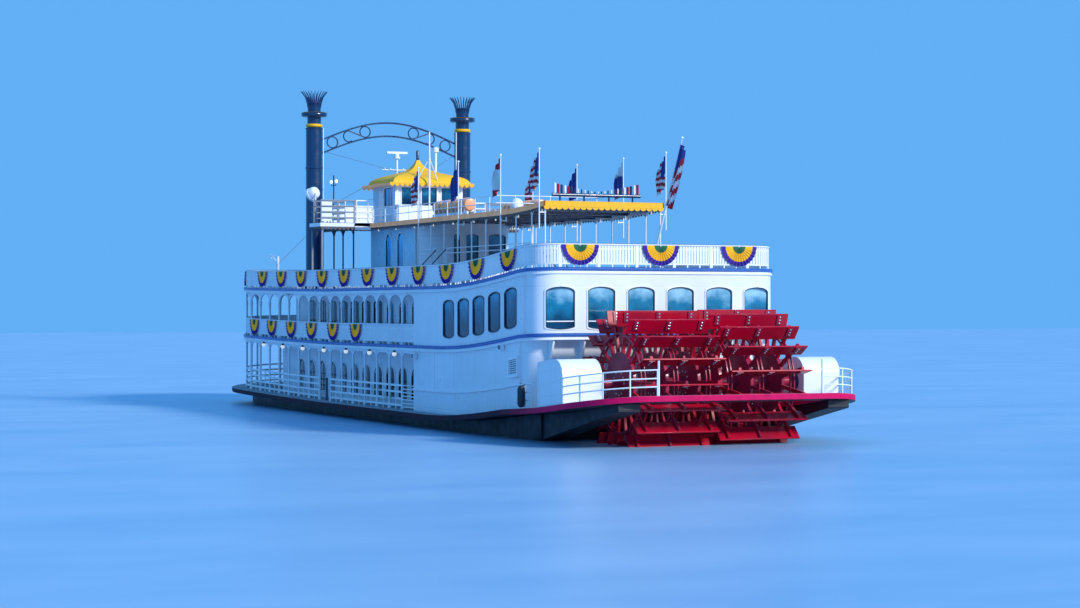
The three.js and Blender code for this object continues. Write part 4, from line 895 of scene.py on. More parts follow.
def main_house_trim():
    """Dado boards and a ledge along the flush wall, a louvred box window, brackets under the overhang."""
    boards, ledge, knees = Shape(), Shape(), Shape()
    face, head = HOUSE_SIDE, SALOON_TOP - DECK_THICK
    box = dict(at=2.4, **STORE)
    left, right, slats = box["at"] - box["width"] / 2, box["at"] + box["width"] / 2, 7
    for _, sign in SIDES:
        lay = on_side(sign)
        for q, _, along in walk(side_path(sum(MAIN_STERN) + 0.1, STEP - 0.1, face), 0.19):
            plank(boards, q, sign * (face + 0.012), along, 0.17, 0.03, MAIN_TOP + 0.05, MAIN_TOP + 1.02)
        ledge.sweep(side_path(sum(MAIN_STERN), STEP, sign * (face + 0.02)), flat_rail(1.03, 1.13, 0.055),
                    MAIN_TOP)
        for q in (4.6, 7.1, 9.6, 12.1):
            seam = rectangle(q - 0.02, q + 0.02, MAIN_TOP + 1.13, 3.65)
            ledge.prism(seam, lay, face - 0.01, face + 0.02, sheer=True)
        knees.prism(window(**box, grow=0.12), lay, face - 0.05, face + 0.10, holes=[window(**box)],
                    sheer=True)
        for i in range(slats):
            low = box["low"] + (box["high"] - box["low"]) * (i + 0.2) / slats
            knees.prism(rectangle(left, right, low, low + 0.05), lay, face, face + 0.05, sheer=True)
        # The navy back behind the slats is painted shade inside the louvred box.
        back = rectangle(left + 0.01, right - 0.01, box["low"] + 0.01, box["high"] - 0.01)
        ledge.prism(back, lay, face - 0.06, face - 0.03, sheer=True, finish=1)
    wall = MAIN_STERN[0]
    bracket = [(wall, head), (wall - 0.5, head), (wall - 0.5, head - 0.1), (wall - 0.08, head - 1.2),
               (wall, head - 1.2)]
    for y in (-5.2, -3.7, -2.2, -0.75, 0.75, 2.2, 3.7, 5.2):
        knees.prism(bracket, on_side(1), y - 0.04, y + 0.04, sheer=True)
    make("main_house_dado", boards, HOUSE, smooth=False)
    make("main_house_ledge", ledge, [WHITE, NAVY])
    make("main_house_brackets", knees, WHITE)


houses()

# Rails

TOP_RAIL = [(-0.06, 0.99), (0.06, 0.99), (0.07, 1.03), (0.05, 1.05), (-0.05, 1.05), (-0.07, 1.03)]


def baluster_rail(name, node, path, deck, post_start=0.0, extra=None):
    """Sawn boards on thin bars, with a dark handrail on top. extra(shape) adds what stands in the rail."""
    shape = Shape()
    for profile in (flat_rail(0.14, 0.21, 0.02), flat_rail(0.80, 0.86, 0.02), TOP_RAIL):
        shape.sweep(path, profile, deck)
    shape.sweep(path, flat_rail(1.045, 1.07, 0.045), deck, finish=1)
    boards = (BAY / 13, BAY / 26, 0.108, 0.05, 0.18, 1.0)
    posts = (BAY, post_start, 0.11, 0.08, 0, 1.0)
    feet = (BAY / 3, BAY / 6, 0.06, 0.05, 0, 0.16)
    for pitch, start, wide, thick, low, high in (boards, posts, feet):
        for q, y, along in walk(path, pitch, start):
            plank(shape, q, y, along, wide, thick, deck + low, deck + high)
    if extra:
        extra(shape)
    return make(name, shape, [WHITE, NAVY], replaces=[node])


# Where the side rails end
LAST = LAST_BAY * BAY + 0.06


def promenade_rails():
    """The rails round the promenade deck, by the side that they stand on."""
    places = {side: side_path(BAY, LAST, EDGE * sign) for side, sign in SIDES}
    places.update(bow=bow_path(BOW_REACH, EDGE), stern=stern_path(0.1, 1.1, EDGE, BAY))
    return {side: baluster_rail(f"promenade_balusters_{side}", f"promenade_rail_{side}", path, PROMENADE_TOP,
                                post_start=1.0 if side == "stern" else 0.0)
            for side, path in places.items()}


def saloon_arcades():
    """Round columns with arches between them over a rail, by the side that they stand on."""
    head, springing, rises, thick = 6.619, 6.02, 0.5, 0.035
    made = {}

    def spandrel(shape, lay, left, right, half, depth):
        """The board between two columns, cut out in an arch."""
        middle = (left + right) / 2
        inner = arc(middle, springing, half, rises, 0, math.pi, 14)
        outline = [(right, springing), *inner, (left, springing), (left, head), (right, head)]
        shape.prism(outline, lay, depth - thick, depth + thick, sheer=True)

    for side, sign in SIDES:
        def arches(shape, sign=sign):
            for n in range(RECESSED, LAST_BAY + 1):
                column(shape, n * BAY, EDGE * sign, SALOON_TOP, springing + 0.06)
            for n in range(RECESSED, LAST_BAY):
                spandrel(shape, on_side(sign), n * BAY, n * BAY + BAY, BAY / 2 - 0.05, EDGE)

        path = side_path(RECESSED * BAY, LAST, EDGE * sign)
        made[side] = baluster_rail(f"saloon_arcade_boards_{side}", f"saloon_arcade_{side}", path, SALOON_TOP,
                                   extra=arches)

    def bow_arches(shape):
        turns = steps(*BOW_TURN, 8)
        for first, last in zip(turns, turns[1:]):
            column(shape, *round_bow(first), SALOON_TOP, springing + 0.06)

            def lay(a, b, depth, first=first, last=last):
                return (*round_bow(first + (last - first) * a, depth), b)

            spandrel(shape, lay, 0, 1, 0.46, 0)

    made["bow"] = baluster_rail("saloon_arcade_boards_bow", "saloon_arcade_bow", bow_path(BOW_REACH, EDGE),
                                SALOON_TOP, extra=bow_arches)
    return made


def column(shape, q, y, low, high, radius=0.065):
    """A turned column with a base and a capital."""
    tall, wide = high - low, radius + 0.03
    profile = [(0, 0), (wide, 0), (wide, 0.09), (radius, 0.13), (radius, tall - 0.22), (wide, tall - 0.19),
               (wide, tall - 0.16), (radius, tall - 0.13), (wide, tall), (0, tall)]
    shape.lathe(profile, (q, y, low + rise(q)), sides=12)


# Heights of the main deck's boards, and the bay that is left open
MAIN_RAIL = (0.2, 0.53, 0.87, 1.2)
GATE = 15


def main_rail(shape, path):
    """Flat boards along a plan path, with a stanchion at its middle."""
    for height in MAIN_RAIL:
        shape.sweep(path, flat_rail(height - 0.05, height + 0.05, 0.018), MAIN_TOP)
    (q0, y0), (q1, y1) = path[0], path[-1]
    length = math.hypot(q1 - q0, y1 - y0)
    along = ((q1 - q0) / length, (y1 - y0) / length)
    plank(shape, (q0 + q1) / 2, (y0 + y1) / 2, along, 0.07, 0.05, MAIN_TOP, MAIN_TOP + MAIN_RAIL[-1])


def main_colonnades():
    """Columns and rails of the main deck, with a gate of bars and a dark post in each side."""
    head, beam = SALOON_TOP - DECK_THICK - CLEAR, flat_rail(-0.14, 0.0, 0.045)
    for side, sign in SIDES:
        shape, y = Shape(), EDGE * sign
        shape.sweep(side_path(RECESSED * BAY, LAST, y), beam, head)
        for n in range(RECESSED, LAST_BAY + 1):
            column(shape, n * BAY, y, MAIN_TOP, head - 0.1)
            for way in (1, -1):
                if RECESSED <= n + way <= LAST_BAY:
                    knee(shape, n * BAY, y, (way, 0), head - 0.12)
        for n in range(RECESSED + 1, LAST_BAY):
            if n != GATE:
                main_rail(shape, [(n * BAY, y), ((n + 1) * BAY, y)])
        for i in range(7):
            shape.bar(side_path(RECESSED * BAY, (RECESSED + 1) * BAY, y), MAIN_TOP + (0.12 + i * 0.18), 0.03)
        shape.post(15.35 * BAY, y, MAIN_TOP, MAIN_TOP + 1.25, 0.06, 12, finish=1)
        make(f"main_columns_{side}", shape, [WHITE, NAVY], replaces=[f"main_colonnade_{side}"])
    shape, path = Shape(), bow_path(BOW_REACH, EDGE)
    shape.sweep(path, beam, head)
    main_rail(shape, path)
    for turn in steps(*BOW_TURN, 8):
        column(shape, *round_bow(turn), MAIN_TOP, head - 0.1)
    make("main_columns_bow", shape, WHITE, replaces=["main_colonnade_bow"])


def knee(shape, q, y, along, top, size=0.55):
    """A quarter-round bracket between a column and the beam over it."""
    outline = [(0, 0), (size, 0)] + [(size * (1 - math.sin(a)), -size * (1 - math.cos(a)))
                                     for a in steps(0, math.pi / 2, 8)]

    def lay(a, b, depth):
        return (q + along[0] * a - along[1] * depth, y + along[1] * a + along[0] * depth, top + b)

    shape.prism(outline, lay, -0.03, 0.03, sheer=True)


def fantail_rails():
    """Three bars on posts round each side of the fantail, with a taller post at its aft end."""
    for side, sign in SIDES:
        shape, inset = Shape(), 0.12
        path = []
        for share in steps(1.0, 0.0, 14):
            q = FANTAIL - FANTAIL_REACH * share
            path.append((q + inset * share, sign * (fantail_edge(q) - inset)))
        path.append((-4.2, sign * (GUARD_HALF - inset)))
        for height in (0.38, 0.72, 1.07):
            shape.bar(path, MAIN_TOP + height, 0.03)
        for q, y, _ in walk(path, 1.15, 0.05):
            shape.post(q, y, MAIN_TOP, MAIN_TOP + 1.07, 0.035)
        shape.post(*path[0], MAIN_TOP, MAIN_TOP + 1.45, 0.045, 10)
        make(f"fantail_pipes_{side}", shape, WHITE, replaces=[f"fantail_rail_{side}"])


promenade = promenade_rails()
saloon = saloon_arcades()
main_colonnades()
fantail_rails()

# Cloth fans and flags


def fan_cloth(name, place, top, carrier):
    """A pleated half-round of bunting pinned along a rail: green, gold and purple bands.

    place(a, out) is the plan point at a along the rail, from the fan's middle, and out from it.
    """
    folds, reach, rim, hem = 15, BAY / 2 - 0.03, 0.91, 0.03
    green_to, gold_to = 0.34, 0.71
    rings = [(0.06, 0), (0.30, 0), (0.33, 0), (0.56, 1), (0.68, 1), (0.70, 0), (0.84, 0), (rim, 0)]
    shape = Shape()
    turns = steps(math.pi, 2 * math.pi, folds * 2)
    for radius, zigzag in rings:
        for k, turn in enumerate(turns):
            fold = 1 if k % 2 else -1
            r = radius / rim * reach + zigzag * fold * hem
            depth = (0.018 + 0.032 * abs(math.sin(turn))) * fold * radius / rim
            q, y = place(r * math.cos(turn), 0.1 + depth)
            shape.add([(q, y, top + r * math.sin(turn) + rise(q))], [])
    wide = len(turns)
    for i, (outer, _) in enumerate(rings[1:]):
        colour = 0 if outer < green_to else 1 if outer < gold_to else 2
        for k in range(wide - 1):
            a = i * wide + k
            shape.faces.append((a, a + 1, a + wide + 1, a + wide))
            shape.finishes.append(colour)
    piece = make(name, shape, [CLOTHS["green"], CLOTHS["gold"], CLOTHS["purple"]], angle=60)


def fans():
    """Fans in every other bay of both upper rails, at the bow's shoulders and across the stern."""
    ahead, reach, drop, shoulder = 0.35, BAY / 2 - 0.02, 1.0, math.radians(68)
    for side, sign in SIDES:
        decks = (("promenade", 1, PROMENADE_TOP, promenade), ("saloon", 12, SALOON_TOP, saloon))
        for deck, first, top, rail in decks:
            for n in range(first, LAST_BAY, 2):
                middle = min((n + 0.5) * BAY + ahead, LAST - reach)

                def along_side(a, out, middle=middle):
                    return (middle + a, sign * (EDGE + out))

                fan_cloth(f"fan_{deck}_{side}_{n:02d}", along_side, top + drop, rail[side])

        def along_bow(a, out):
            return round_bow(sign * shoulder - sign * a / (BOW_REACH - 0.1), out)

        fan_cloth(f"fan_bow_{side}", along_bow, PROMENADE_TOP + drop, promenade["bow"])
    for i, middle in enumerate((-3.97, 0, 3.97)):
        def along_stern(a, out, middle=middle):
            return (0.1 - out, middle + a)

        fan_cloth(f"fan_stern_{i}", along_stern, PROMENADE_TOP + drop, promenade["stern"])


def flag_cloth(name, staff, fly, bands, folds, canton=None, way=1):
    """Cloth hanging in folds from a staff, ahead of it or astern by way.

    staff(t) is the place on it at t from the top, 0, to the foot, 1. fly is how far it reaches as it
    hangs.
    """
    shape = Shape()
    across_count, down_count, swing_depth = 20, 26, 0.085
    for j in range(down_count + 1):
        down = j / down_count
        q, y, z = staff(down)
        for i in range(across_count + 1):
            along = i / across_count
            swing = swing_depth * math.sin(along * folds * math.pi * 2 + down * 1.6) * min(1, along * 4)
            gather = 0.8 + 0.1 * math.sin(down * 5)
            droop = 0.55 * fly * along ** 1.2
            wide = fly * along * gather * (0.72 + 0.28 * down)
            shape.add([(q + way * wide, y + swing, z - droop * (1 - 0.35 * down))], [])
    for j in range(down_count):
        for i in range(across_count):
            a = j * (across_count + 1) + i
            shape.faces.append((a, a + 1, a + across_count + 2, a + across_count + 1))
            colour = bands[int((0.72 * j / down_count + 0.27 * i / across_count) * len(bands))]
            if canton and i < across_count * canton[0] and j < down_count * canton[1]:
                colour = canton[2]
            shape.finishes.append(colour)
    piece = make(name, shape, [CLOTHS["red"], CLOTHS["white"], CLOTHS["blue"]], angle=80)


# Each flag is its bands from top to foot, and a canton: its share of the fly and of the hoist, and its
# finish. 0 is red, 1 white and 2 blue.
STRIPED = ([0, 1] * 6 + [0], (0.42, 0.54, 2))
PLAIN = ([2], None)
FLAGS = {
    "port": [STRIPED, ([0, 1, 1, 0], None), PLAIN, STRIPED],
    "starboard": [STRIPED, ([1, 2, 0], None), PLAIN, STRIPED],
}
POLES = [5.95, 10.55, 16.0, 21.65]


def flags():
    """Awning posts with poles clamped to their beam, and a flag on each pole."""
    beam = ROOF_TOP - ROOF_THICK - 0.16
    clamp = ROOF_TOP - ROOF_THICK - SKIRT - 0.12
    inner, outer, foot, head = 3.0, 3.3, 9.3, 13.2
    posts = [POLES[0]] + [n * BAY for n in range(4, 13)]
    knob = [(0, 0), (0.05, 0.02), (0.06, 0.06), (0.05, 0.1), (0, 0.12)]
    for side, sign in SIDES:
        shape, near, far = Shape(), sign * inner, sign * outer
        for q in posts:
            shape.post(q, near, PROMENADE_TOP, beam + 0.02, 0.035, 10)
            for way in (1, -1):
                if posts[0] < q + way < posts[-1]:
                    knee(shape, q, near, (way, 0), beam, 0.3)
        shape.sweep(side_path(5.9, 29.7, near), flat_rail(0, 0.159, 0.05), beam)
        for q in POLES:
            shape.tube([(q, far, foot + rise(q)), (q, far, head)], [0.036, 0.024], 10)
            shape.bar([(q, near), (q, far)], clamp, 0.03)
            shape.post(q, near, clamp - 0.04, beam, 0.045)
            shape.lathe(knob, (q, far, head - 0.02), sides=14)
        carrier = make(f"awning_supports_{side}", shape, WHITE,
                       replaces=[f"awning_posts_{side}"])
        for number, (q, (bands, canton)) in enumerate(zip(POLES, FLAGS[side])):
            def staff(down, q=q):
                return (q + 0.04, far, 13.1 - 1.5 * down)
            flag_cloth(f"flag_{side}_{number}", staff, 1.2, bands, 2.2, canton)


def ensign():
    """A staff that leans aft over the stern rail, with a long narrow roll of cloth on it."""
    shape, up, (q, y), low, tall = Shape(), rise(0), (0.45, 0.12), 7.4, 5.1
    bands = [2, 2, 2, 2, 0, 1, 0, 1, 0, 1, 0, 0]
    base, top = Vector((q, y, low + up)), Vector((-2.25, y, low + tall + up))
    shape.tube([base, top], [0.05, 0.03], 12)
    shape.tube([(q, y, PROMENADE_TOP + rise(q)), (q, y, 7.55 + up)], 0.07, 12)
    shape.lathe([(0, 0), (0.05, 0.02), (0.06, 0.06), (0, 0.12)], top, (top - base))
    for height in (7.45, 7.95):
        collar = base + (top - base) * ((height - low) / tall)
        shape.lathe([(0.075, 0), (0.085, 0.02), (0.075, 0.04)], collar, top - base)
    carrier = make("ensign_staff", shape, WHITE)

    def leaning(down):
        point = top + (base - top) * (0.04 + down * 0.52)
        return (point.x - 0.03, point.y, point.z)

    flag_cloth("ensign", leaning, 0.6, bands, 1.6, way=-1)


fans()
flags()
ensign()

# Wheel

# The wheel's axis: its place ahead and its height
AXIS = (-3.27, 2.62)
SPOKES = 18


def wheel_lay(angle):
    """Places a shape by distance along a spoke, distance ahead of it, and the place athwart."""
    def lay(a, b, depth):
        return (AXIS[0] + a * math.cos(angle) - b * math.sin(angle), depth,
                AXIS[1] + a * math.sin(angle) + b * math.cos(angle))
    return lay


def laid_block(shape, lay, a, b, depth, **how):
    """A box in the place that lay gives, from three pairs of limits."""
    corners = [(a[i], b[j]) for i, j in ((0, 0), (1, 0), (1, 1), (0, 1))]
    shape.rings([lay(*corner, d) for d in depth for corner in corners], 2, 4, **how)


def wheel():
    """Two halves of the paddle wheel, each with three frames of spokes, and the shaft through both."""
    frames, hub, rim, board, reach = (0.52, 2.05, 3.58), 0.5, 3.1, (2.47, 3.15), (0.1, 4.0)
    starts = {"port": math.radians(-2), "starboard": math.radians(-12)}
    hoop = flat_ring(2.08, 2.17, -0.03, 0.03)
    disc = [(0.23, -0.1), (0.62, -0.1), (0.66, -0.085), (1.33, -0.085), (1.35, -0.07), (1.35, 0.07),
            (1.33, 0.085), (0.66, 0.085), (0.62, 0.1), (0.23, 0.1), (0.23, -0.1)]
    bolt = [(0, 0), (0.04, 0), (0.04, 0.02), (0.025, 0.035), (0, 0.035)]
    nut = [(0, 0), (0.04, 0), (0.035, 0.03), (0, 0.03)]
    for side, sign in SIDES:
        shape, planks, bolts = Shape(), Shape(), Shape()
        for angle in steps(starts[side], starts[side] + 2 * math.pi, SPOKES)[:-1]:
            lay = wheel_lay(angle)
            for y, half, finish in zip(frames, (0.065, 0.05, 0.065), (0, 1, 0)):
                arm = [(hub, -0.085), (rim, -0.07), (rim, 0.07), (hub, 0.085)]
                shape.prism(arm, lay, sign * (y - half), sign * (y + half), finish=finish)
                laid_block(bolts, lay, (2.66, rim), (0.12, 0.17), (sign * (y - 0.14), sign * (y + 0.14)))
                for r in (2.74, 2.88, 3.02):
                    centre, face = Vector(lay(r, 0.165, sign * y)), Vector(lay(r, 0.2, sign * y))
                    bolts.lathe(bolt, centre, face - centre, sides=8, finish=1)
            laid_block(planks, lay, board, (0.055, 0.125), [sign * y for y in reach])
        for y in frames:
            for depth in (y - 0.09, y + 0.09):
                shape.lathe(hoop, (AXIS[0], sign * depth, AXIS[1]), (0, 1, 0), sides=72, finish=1)
            shape.lathe(disc, (AXIS[0], sign * y, AXIS[1]), (0, 1, 0), sides=48, finish=1)
            for k in range(12):
                centre = wheel_lay(starts[side] + k * math.pi / 6)(hub, 0, sign * (y + 0.1))
                bolts.lathe(nut, centre, (0, sign, 0), sides=8, finish=1)
        make(f"wheel_frames_{side}", shape, [RED, DARK_RED], "paddle_wheel",
             replaces=[f"wheel_half_{side}"], bevel=0.008)
        make(f"wheel_planks_{side}", planks, RED, "paddle_wheel", bevel=0.012)
        make(f"wheel_bolts_{side}", bolts, [DARK_RED, BOLT], "paddle_wheel")
    shaft = Shape()
    profile = [(0, -5.499), (0.21, -5.499), (0.218, -5.4), (0.218, 5.4), (0.21, 5.499), (0, 5.499)]
    shaft.lathe(profile, (AXIS[0], 0, AXIS[1]), (0, 1, 0), sides=40)
    make("wheel_shaft_turned", shaft, DARK_RED, "paddle_wheel", replaces=["wheel_shaft"])


def housings():
    """Covers of the wheel's drive, with a rounded aft top, seam straps and a bearing collar."""
    low, high, corner, shrink = MAIN_TOP, 2.70, 0.85, 0.9
    aft, fore, inner, outer = -4.14, -1.55, 4.9, 6.7
    bend = [(aft + corner * (1 - math.cos(a)), high - corner * (1 - math.sin(a)))
            for a in steps(math.pi / 2, 0, 12)]
    inset = [(aft + corner + (q - aft - corner) * shrink, high - corner + (z - high + corner) * shrink)
             for q, z in bend]
    sill = [(q, low) for q in line_places(aft, fore)[1:-1]]
    over = [(fore, high), *bend]
    rim = [(fore, low + 0.02), *over, (aft, low + 0.02)]
    inside = [(fore - 0.09, low + 0.11), (fore - 0.09, high - 0.09), *inset, (aft + 0.085, low + 0.11)]
    collar_profile = [(0.2215, 0), (0.42, 0), (0.42, 0.05), (0.32, 0.12), (0.2215, 0.12), (0.2215, 0)]
    for side, sign in SIDES:
        shape, collar, lay = Shape(), Shape(), on_side(sign)
        shape.prism([(aft, low), *sill, (fore, low), *over], lay, inner, outer, sheer=True)
        shape.prism(rim, lay, outer + CLEAR, outer + 0.02, holes=[inside], sheer=True)
        for height in (1.2, 1.75, 2.25):
            strap = rectangle(aft + 0.05, fore - 0.05, height, height + 0.04)
            shape.prism(strap, lay, outer + CLEAR, outer + 0.016, sheer=True)
        make(f"wheel_housing_plating_{side}", shape, HOUSE,
             replaces=[f"wheel_housing_{side}"])
        collar.lathe(collar_profile, (AXIS[0], sign * inner, AXIS[1]), (0, -sign, 0), sides=32)
        make(f"shaft_collar_{side}", collar, NAVY)


wheel()
housings()

# Chimneys and arch

# The port chimney's axis: its place ahead and to port
STACK = (35.07, 4.63)


def chimneys():
    """Banded stacks with a ring and a crown of thin prongs, each with a pipe up its side and its stays."""
    q, foot, prongs, lean = STACK[0], PROMENADE_TOP + rise(STACK[0]), 24, math.radians(246)
    disc = arc(0.62, 17.05, 0.13, 0.13, -math.pi / 2, math.pi / 2, 8)
    profile = [(0, foot), (0.6, foot), (0.6, foot + 0.25), (0.54, foot + 0.32), (0.48, foot + 0.5),
               (0.48, 13.9), (0.51, 13.93), (0.51, 14.03), (0.48, 14.06), (0.48, 16.2), (0.51, 16.22),
               (0.51, 16.28), (0.40, 16.3), (0.40, 16.9), *disc, (0.38, 17.22), (0.38, 17.7), (0.3, 17.7),
               (0.3, 17.4), (0, 17.4)]
    collar = arc(0.385, 16.42, 0.1, 0.1, 0, 2 * math.pi, 12)[:-1]
    rim = [(0.7, 17.165), (0.74, 17.15), (0.745, 17.165), (0.7, 17.19), (0.7, 17.165)]
    prong = ((0.36, 17.45), (0.41, 17.75), (0.52, 18.08), (0.76, 18.39))
    ropes = (((35.52, 4.6, 10.4), (44.4, 3.96, 8.5)), ((35.07, 4.12, 14.97), (30.9, 0.8, 13.55)),
             ((33.7, 3.87, 11.85), (32.65, 2.48, 12.76)), ((33.7, 3.87, 11.8), (32.19, 1.99, 12.1)))
    for side, sign in SIDES:
        shape, pipe, stays, y = Shape(), Shape(), Shape(), STACK[1] * sign

        def beside(radius, turn):
            return (q + radius * math.cos(turn), y + radius * math.sin(turn))

        shape.lathe(profile, (q, y, 0), sides=48)
        shape.lathe([*collar, collar[0]], (q, y, 0), sides=48, finish=1)
        shape.lathe(rim, (q, y, 0), sides=48, finish=2)
        for k in range(prongs):
            path = [(*beside(r, 2 * math.pi * k / prongs), z) for r, z in prong]
            shape.tube(path, [0.03, 0.032, 0.026, 0.018], 6)
        shape.lathe(flat_ring(0.38, 0.43, 17.7, 17.76), (q, y, 0), sides=40)
        make(f"chimney_plating_{side}", shape, [NAVY, YELLOW, BRASS],
             replaces=[f"chimney_{side}"])
        at = beside(0.53, lean * sign)
        pipe.tube([(*at, foot), (*at, 16.3)], 0.03, 10)
        for z in (8.0, 9.6, 11.2, 12.8, 14.6, 16.1):
            pipe.tube([(*at, z), (*beside(0.46, lean * sign), z)], 0.022, 8)
        make(f"chimney_pipe_{side}", pipe, WHITE)
        for ends in ropes:
            stays.tube([(ahead, sign * out, z) for ahead, out, z in ends], 0.012, 6)
        make(f"chimney_stays_{side}", stays, STEEL)


def arch():
    """An arched truss: two double chords, circles at its ends and lying S scrolls further in."""
    half, thick, bar, strand = STACK[1] - 0.4806, 0.06, 0.1, 0.046
    end, crown, depth, places = 14.8, 15.9, 0.78, 8
    shape, at = Shape(), STACK[0]

    def lower(y):
        return end + (crown - end) * math.cos(y / half * math.pi / 2)

    def centre(i):
        y = half * (2 * (i + 0.5) / places - 1) * 0.97
        return y, lower(y) + (depth + bar) / 2

    ys = steps(-half, half, 40)
    for up in (0, bar - strand, depth, depth + bar - strand):
        outline = [(y, lower(y) + up) for y in ys] + [(y, lower(y) + up + strand) for y in reversed(ys)]
        shape.prism(outline, across, at - thick, at + thick)
    for y in steps(-half + 0.05, half - 0.05, 28):
        for up in (0, depth):
            shape.block((at - 0.03, at + 0.03), (y - 0.02, y + 0.02),
                        (lower(y) + up + 0.01, lower(y) + up + bar - 0.01))
    radius = (depth - bar) / 2 + 0.01
    curl = radius - 0.03
    for i in (0, places - 1):
        y, z = centre(i)
        shape.lathe(flat_ring(radius - 0.06, radius, -0.04, 0.04), (at, y, z), (1, 0, 0), sides=32)
    for i, j in ((1, 2), (places - 2, places - 3)):
        (y0, z0), (y1, z1) = centre(i), centre(j)
        way = 1 if y1 > y0 else -1
        scroll = arc(y0, z0, way * curl, curl, -0.9, -1.5 * math.pi, 18)
        scroll += arc(y1, z1, way * curl, curl, -0.5 * math.pi, 1.25 * math.pi, 20)
        shape.tube([(at, y, z) for y, z in scroll], 0.038, 8)
    make("chimney_arch_work", shape, NAVY, replaces=["chimney_arch"], bevel=0.006)


chimneys()
arch()

# Hurricane deck, awning and bridge


def teeth(shape, lay, start, end, high, drop, pitch, near, far, sharp=True, **how):
    """A row of pointed or rounded teeth along a line."""
    count = max(1, round(abs(end - start) / pitch))
    step = (end - start) / count
    for i in range(count):
        left, right = start + i * step, start + (i + 1) * step
        middle, half = (left + right) / 2, (right - left) / 2
        if sharp:
            outline = [(left, high), (left + step * 0.08, high - drop * 0.5), (middle, high - drop),
                       (right - step * 0.08, high - drop * 0.5), (right, high)]
        else:
            outline = arc(middle, high, half, -drop, 0, math.pi, 8)
        shape.prism(outline, lay, near, far, **how)


def hurricane_deck():
    """The awning roof with its toothed valance and lamps, and the wider deck round the pilothouse."""
    shape, skirt, bulbs = Shape(), Shape(), Shape()
    aft, fore, lip, pitch = 5.8, 29.7, 0.06, 0.312
    under, half, wide = ROOF_TOP - ROOF_THICK, AWNING_HALF, BRIDGE_HALF
    band, front = under - 0.08, under - 0.12
    full_strip(shape, line_places(aft + lip, fore), lambda q: half - lip, under, ROOF_TOP)
    full_strip(shape, line_places(fore, BRIDGE_FORE), lambda q: wide, under, ROOF_TOP)
    for q in line_places(7.2, 29.0):
        shape.block((q - 0.04, q + 0.04), (-3.0, 3.0), (under - 0.11, under + 0.01), sheer=True, finish=2)
    make("hurricane_deck_boards", shape, [DECK, WHITE, NAVY], replaces=["hurricane_deck"])
    for _, sign in SIDES:
        lay = on_side(sign)
        path = side_path(aft, fore, sign * (half - 0.03))
        # The side skirt and the lip at the roof's edge have the tan copy of the yellow: painted shade and
        # painted glow.
        skirt.sweep(path, flat_rail(0, 0.2, 0.03), band, finish=1)
        skirt.sweep(path, flat_rail(-0.05, -0.002, 0.045), ROOF_TOP, finish=1)
        teeth(skirt, lay, aft + 0.05, fore - 0.05, band + 0.01, SKIRT - 0.07, 0.3, half - 0.05, half - 0.02,
              sheer=True, finish=4)
        path = side_path(fore + 0.05, BRIDGE_FORE, sign * (wide + 0.005))
        skirt.sweep(path, flat_rail(-0.06, 0.16, 0.03), under)
        teeth(skirt, lay, fore + 0.05, BRIDGE_FORE, under - 0.05, 0.2, 0.26, wide - 0.02, wide + 0.01,
              sheer=True, finish=4)
    skirt.block((aft, aft + lip), (-half, half), (front, ROOF_TOP), sheer=True, finish=2)
    # The second row is navy, half a pitch over and a little further forward: painted shadow under and
    # between the yellow scallops.
    for inset, drop, depth, finish in ((0, 0.13, 0.01, 2), (pitch / 2, 0.12, 0.035, 3)):
        teeth(skirt, across, inset - half, half - inset, front + rise(aft), drop, pitch, aft + depth,
              aft + depth + 0.02, sharp=False, finish=finish)
    for way in (-1, 1):
        skirt.block((fore, fore + 0.06), sorted((way * (half + 0.01), way * wide)), (under - 0.06, ROOF_TOP),
                    sheer=True)
    skirt.block((BRIDGE_FORE + CLEAR, BRIDGE_FORE + 0.04), (-wide, wide), (under - 0.06, ROOF_TOP),
                sheer=True)
    make("roof_valance", skirt, [WHITE, PAINTED_SHADE_YELLOW, YELLOW, NAVY, TOOTH], smooth=False)
    bulb = [(0, -0.06), (0.04, -0.03), (0.045, 0.0), (0.02, 0.05), (0.02, 0.13)]
    for n in range(9):
        q = 6.6 + n * 2.8
        for y in (-2.86, 2.86):
            bulbs.lathe(bulb, (q, y, under - 0.24 + rise(q)), sides=8)
    make("awning_lamps", bulbs, LAMP)


# A bridge wing, the heights of the bridge rail's bars, and the limits of the panels in front of them
WING = dict(aft=29.8, fore=31.7, reach=6.0)
BARS = (0.3, 0.62, 0.94, 1.26)
PANEL = (ROOF_TOP + 0.1, ROOF_TOP + 1.22)


def pipe_rail(shape, path, heights, pitch, deck=ROOF_TOP, radius=0.042):
    """Bars along a plan path and the posts that carry them."""
    for height in heights:
        shape.bar(path, deck + height, radius)
    for q, y, _ in walk(path, pitch):
        shape.post(q, y, deck, deck + heights[-1] + 0.02, radius)


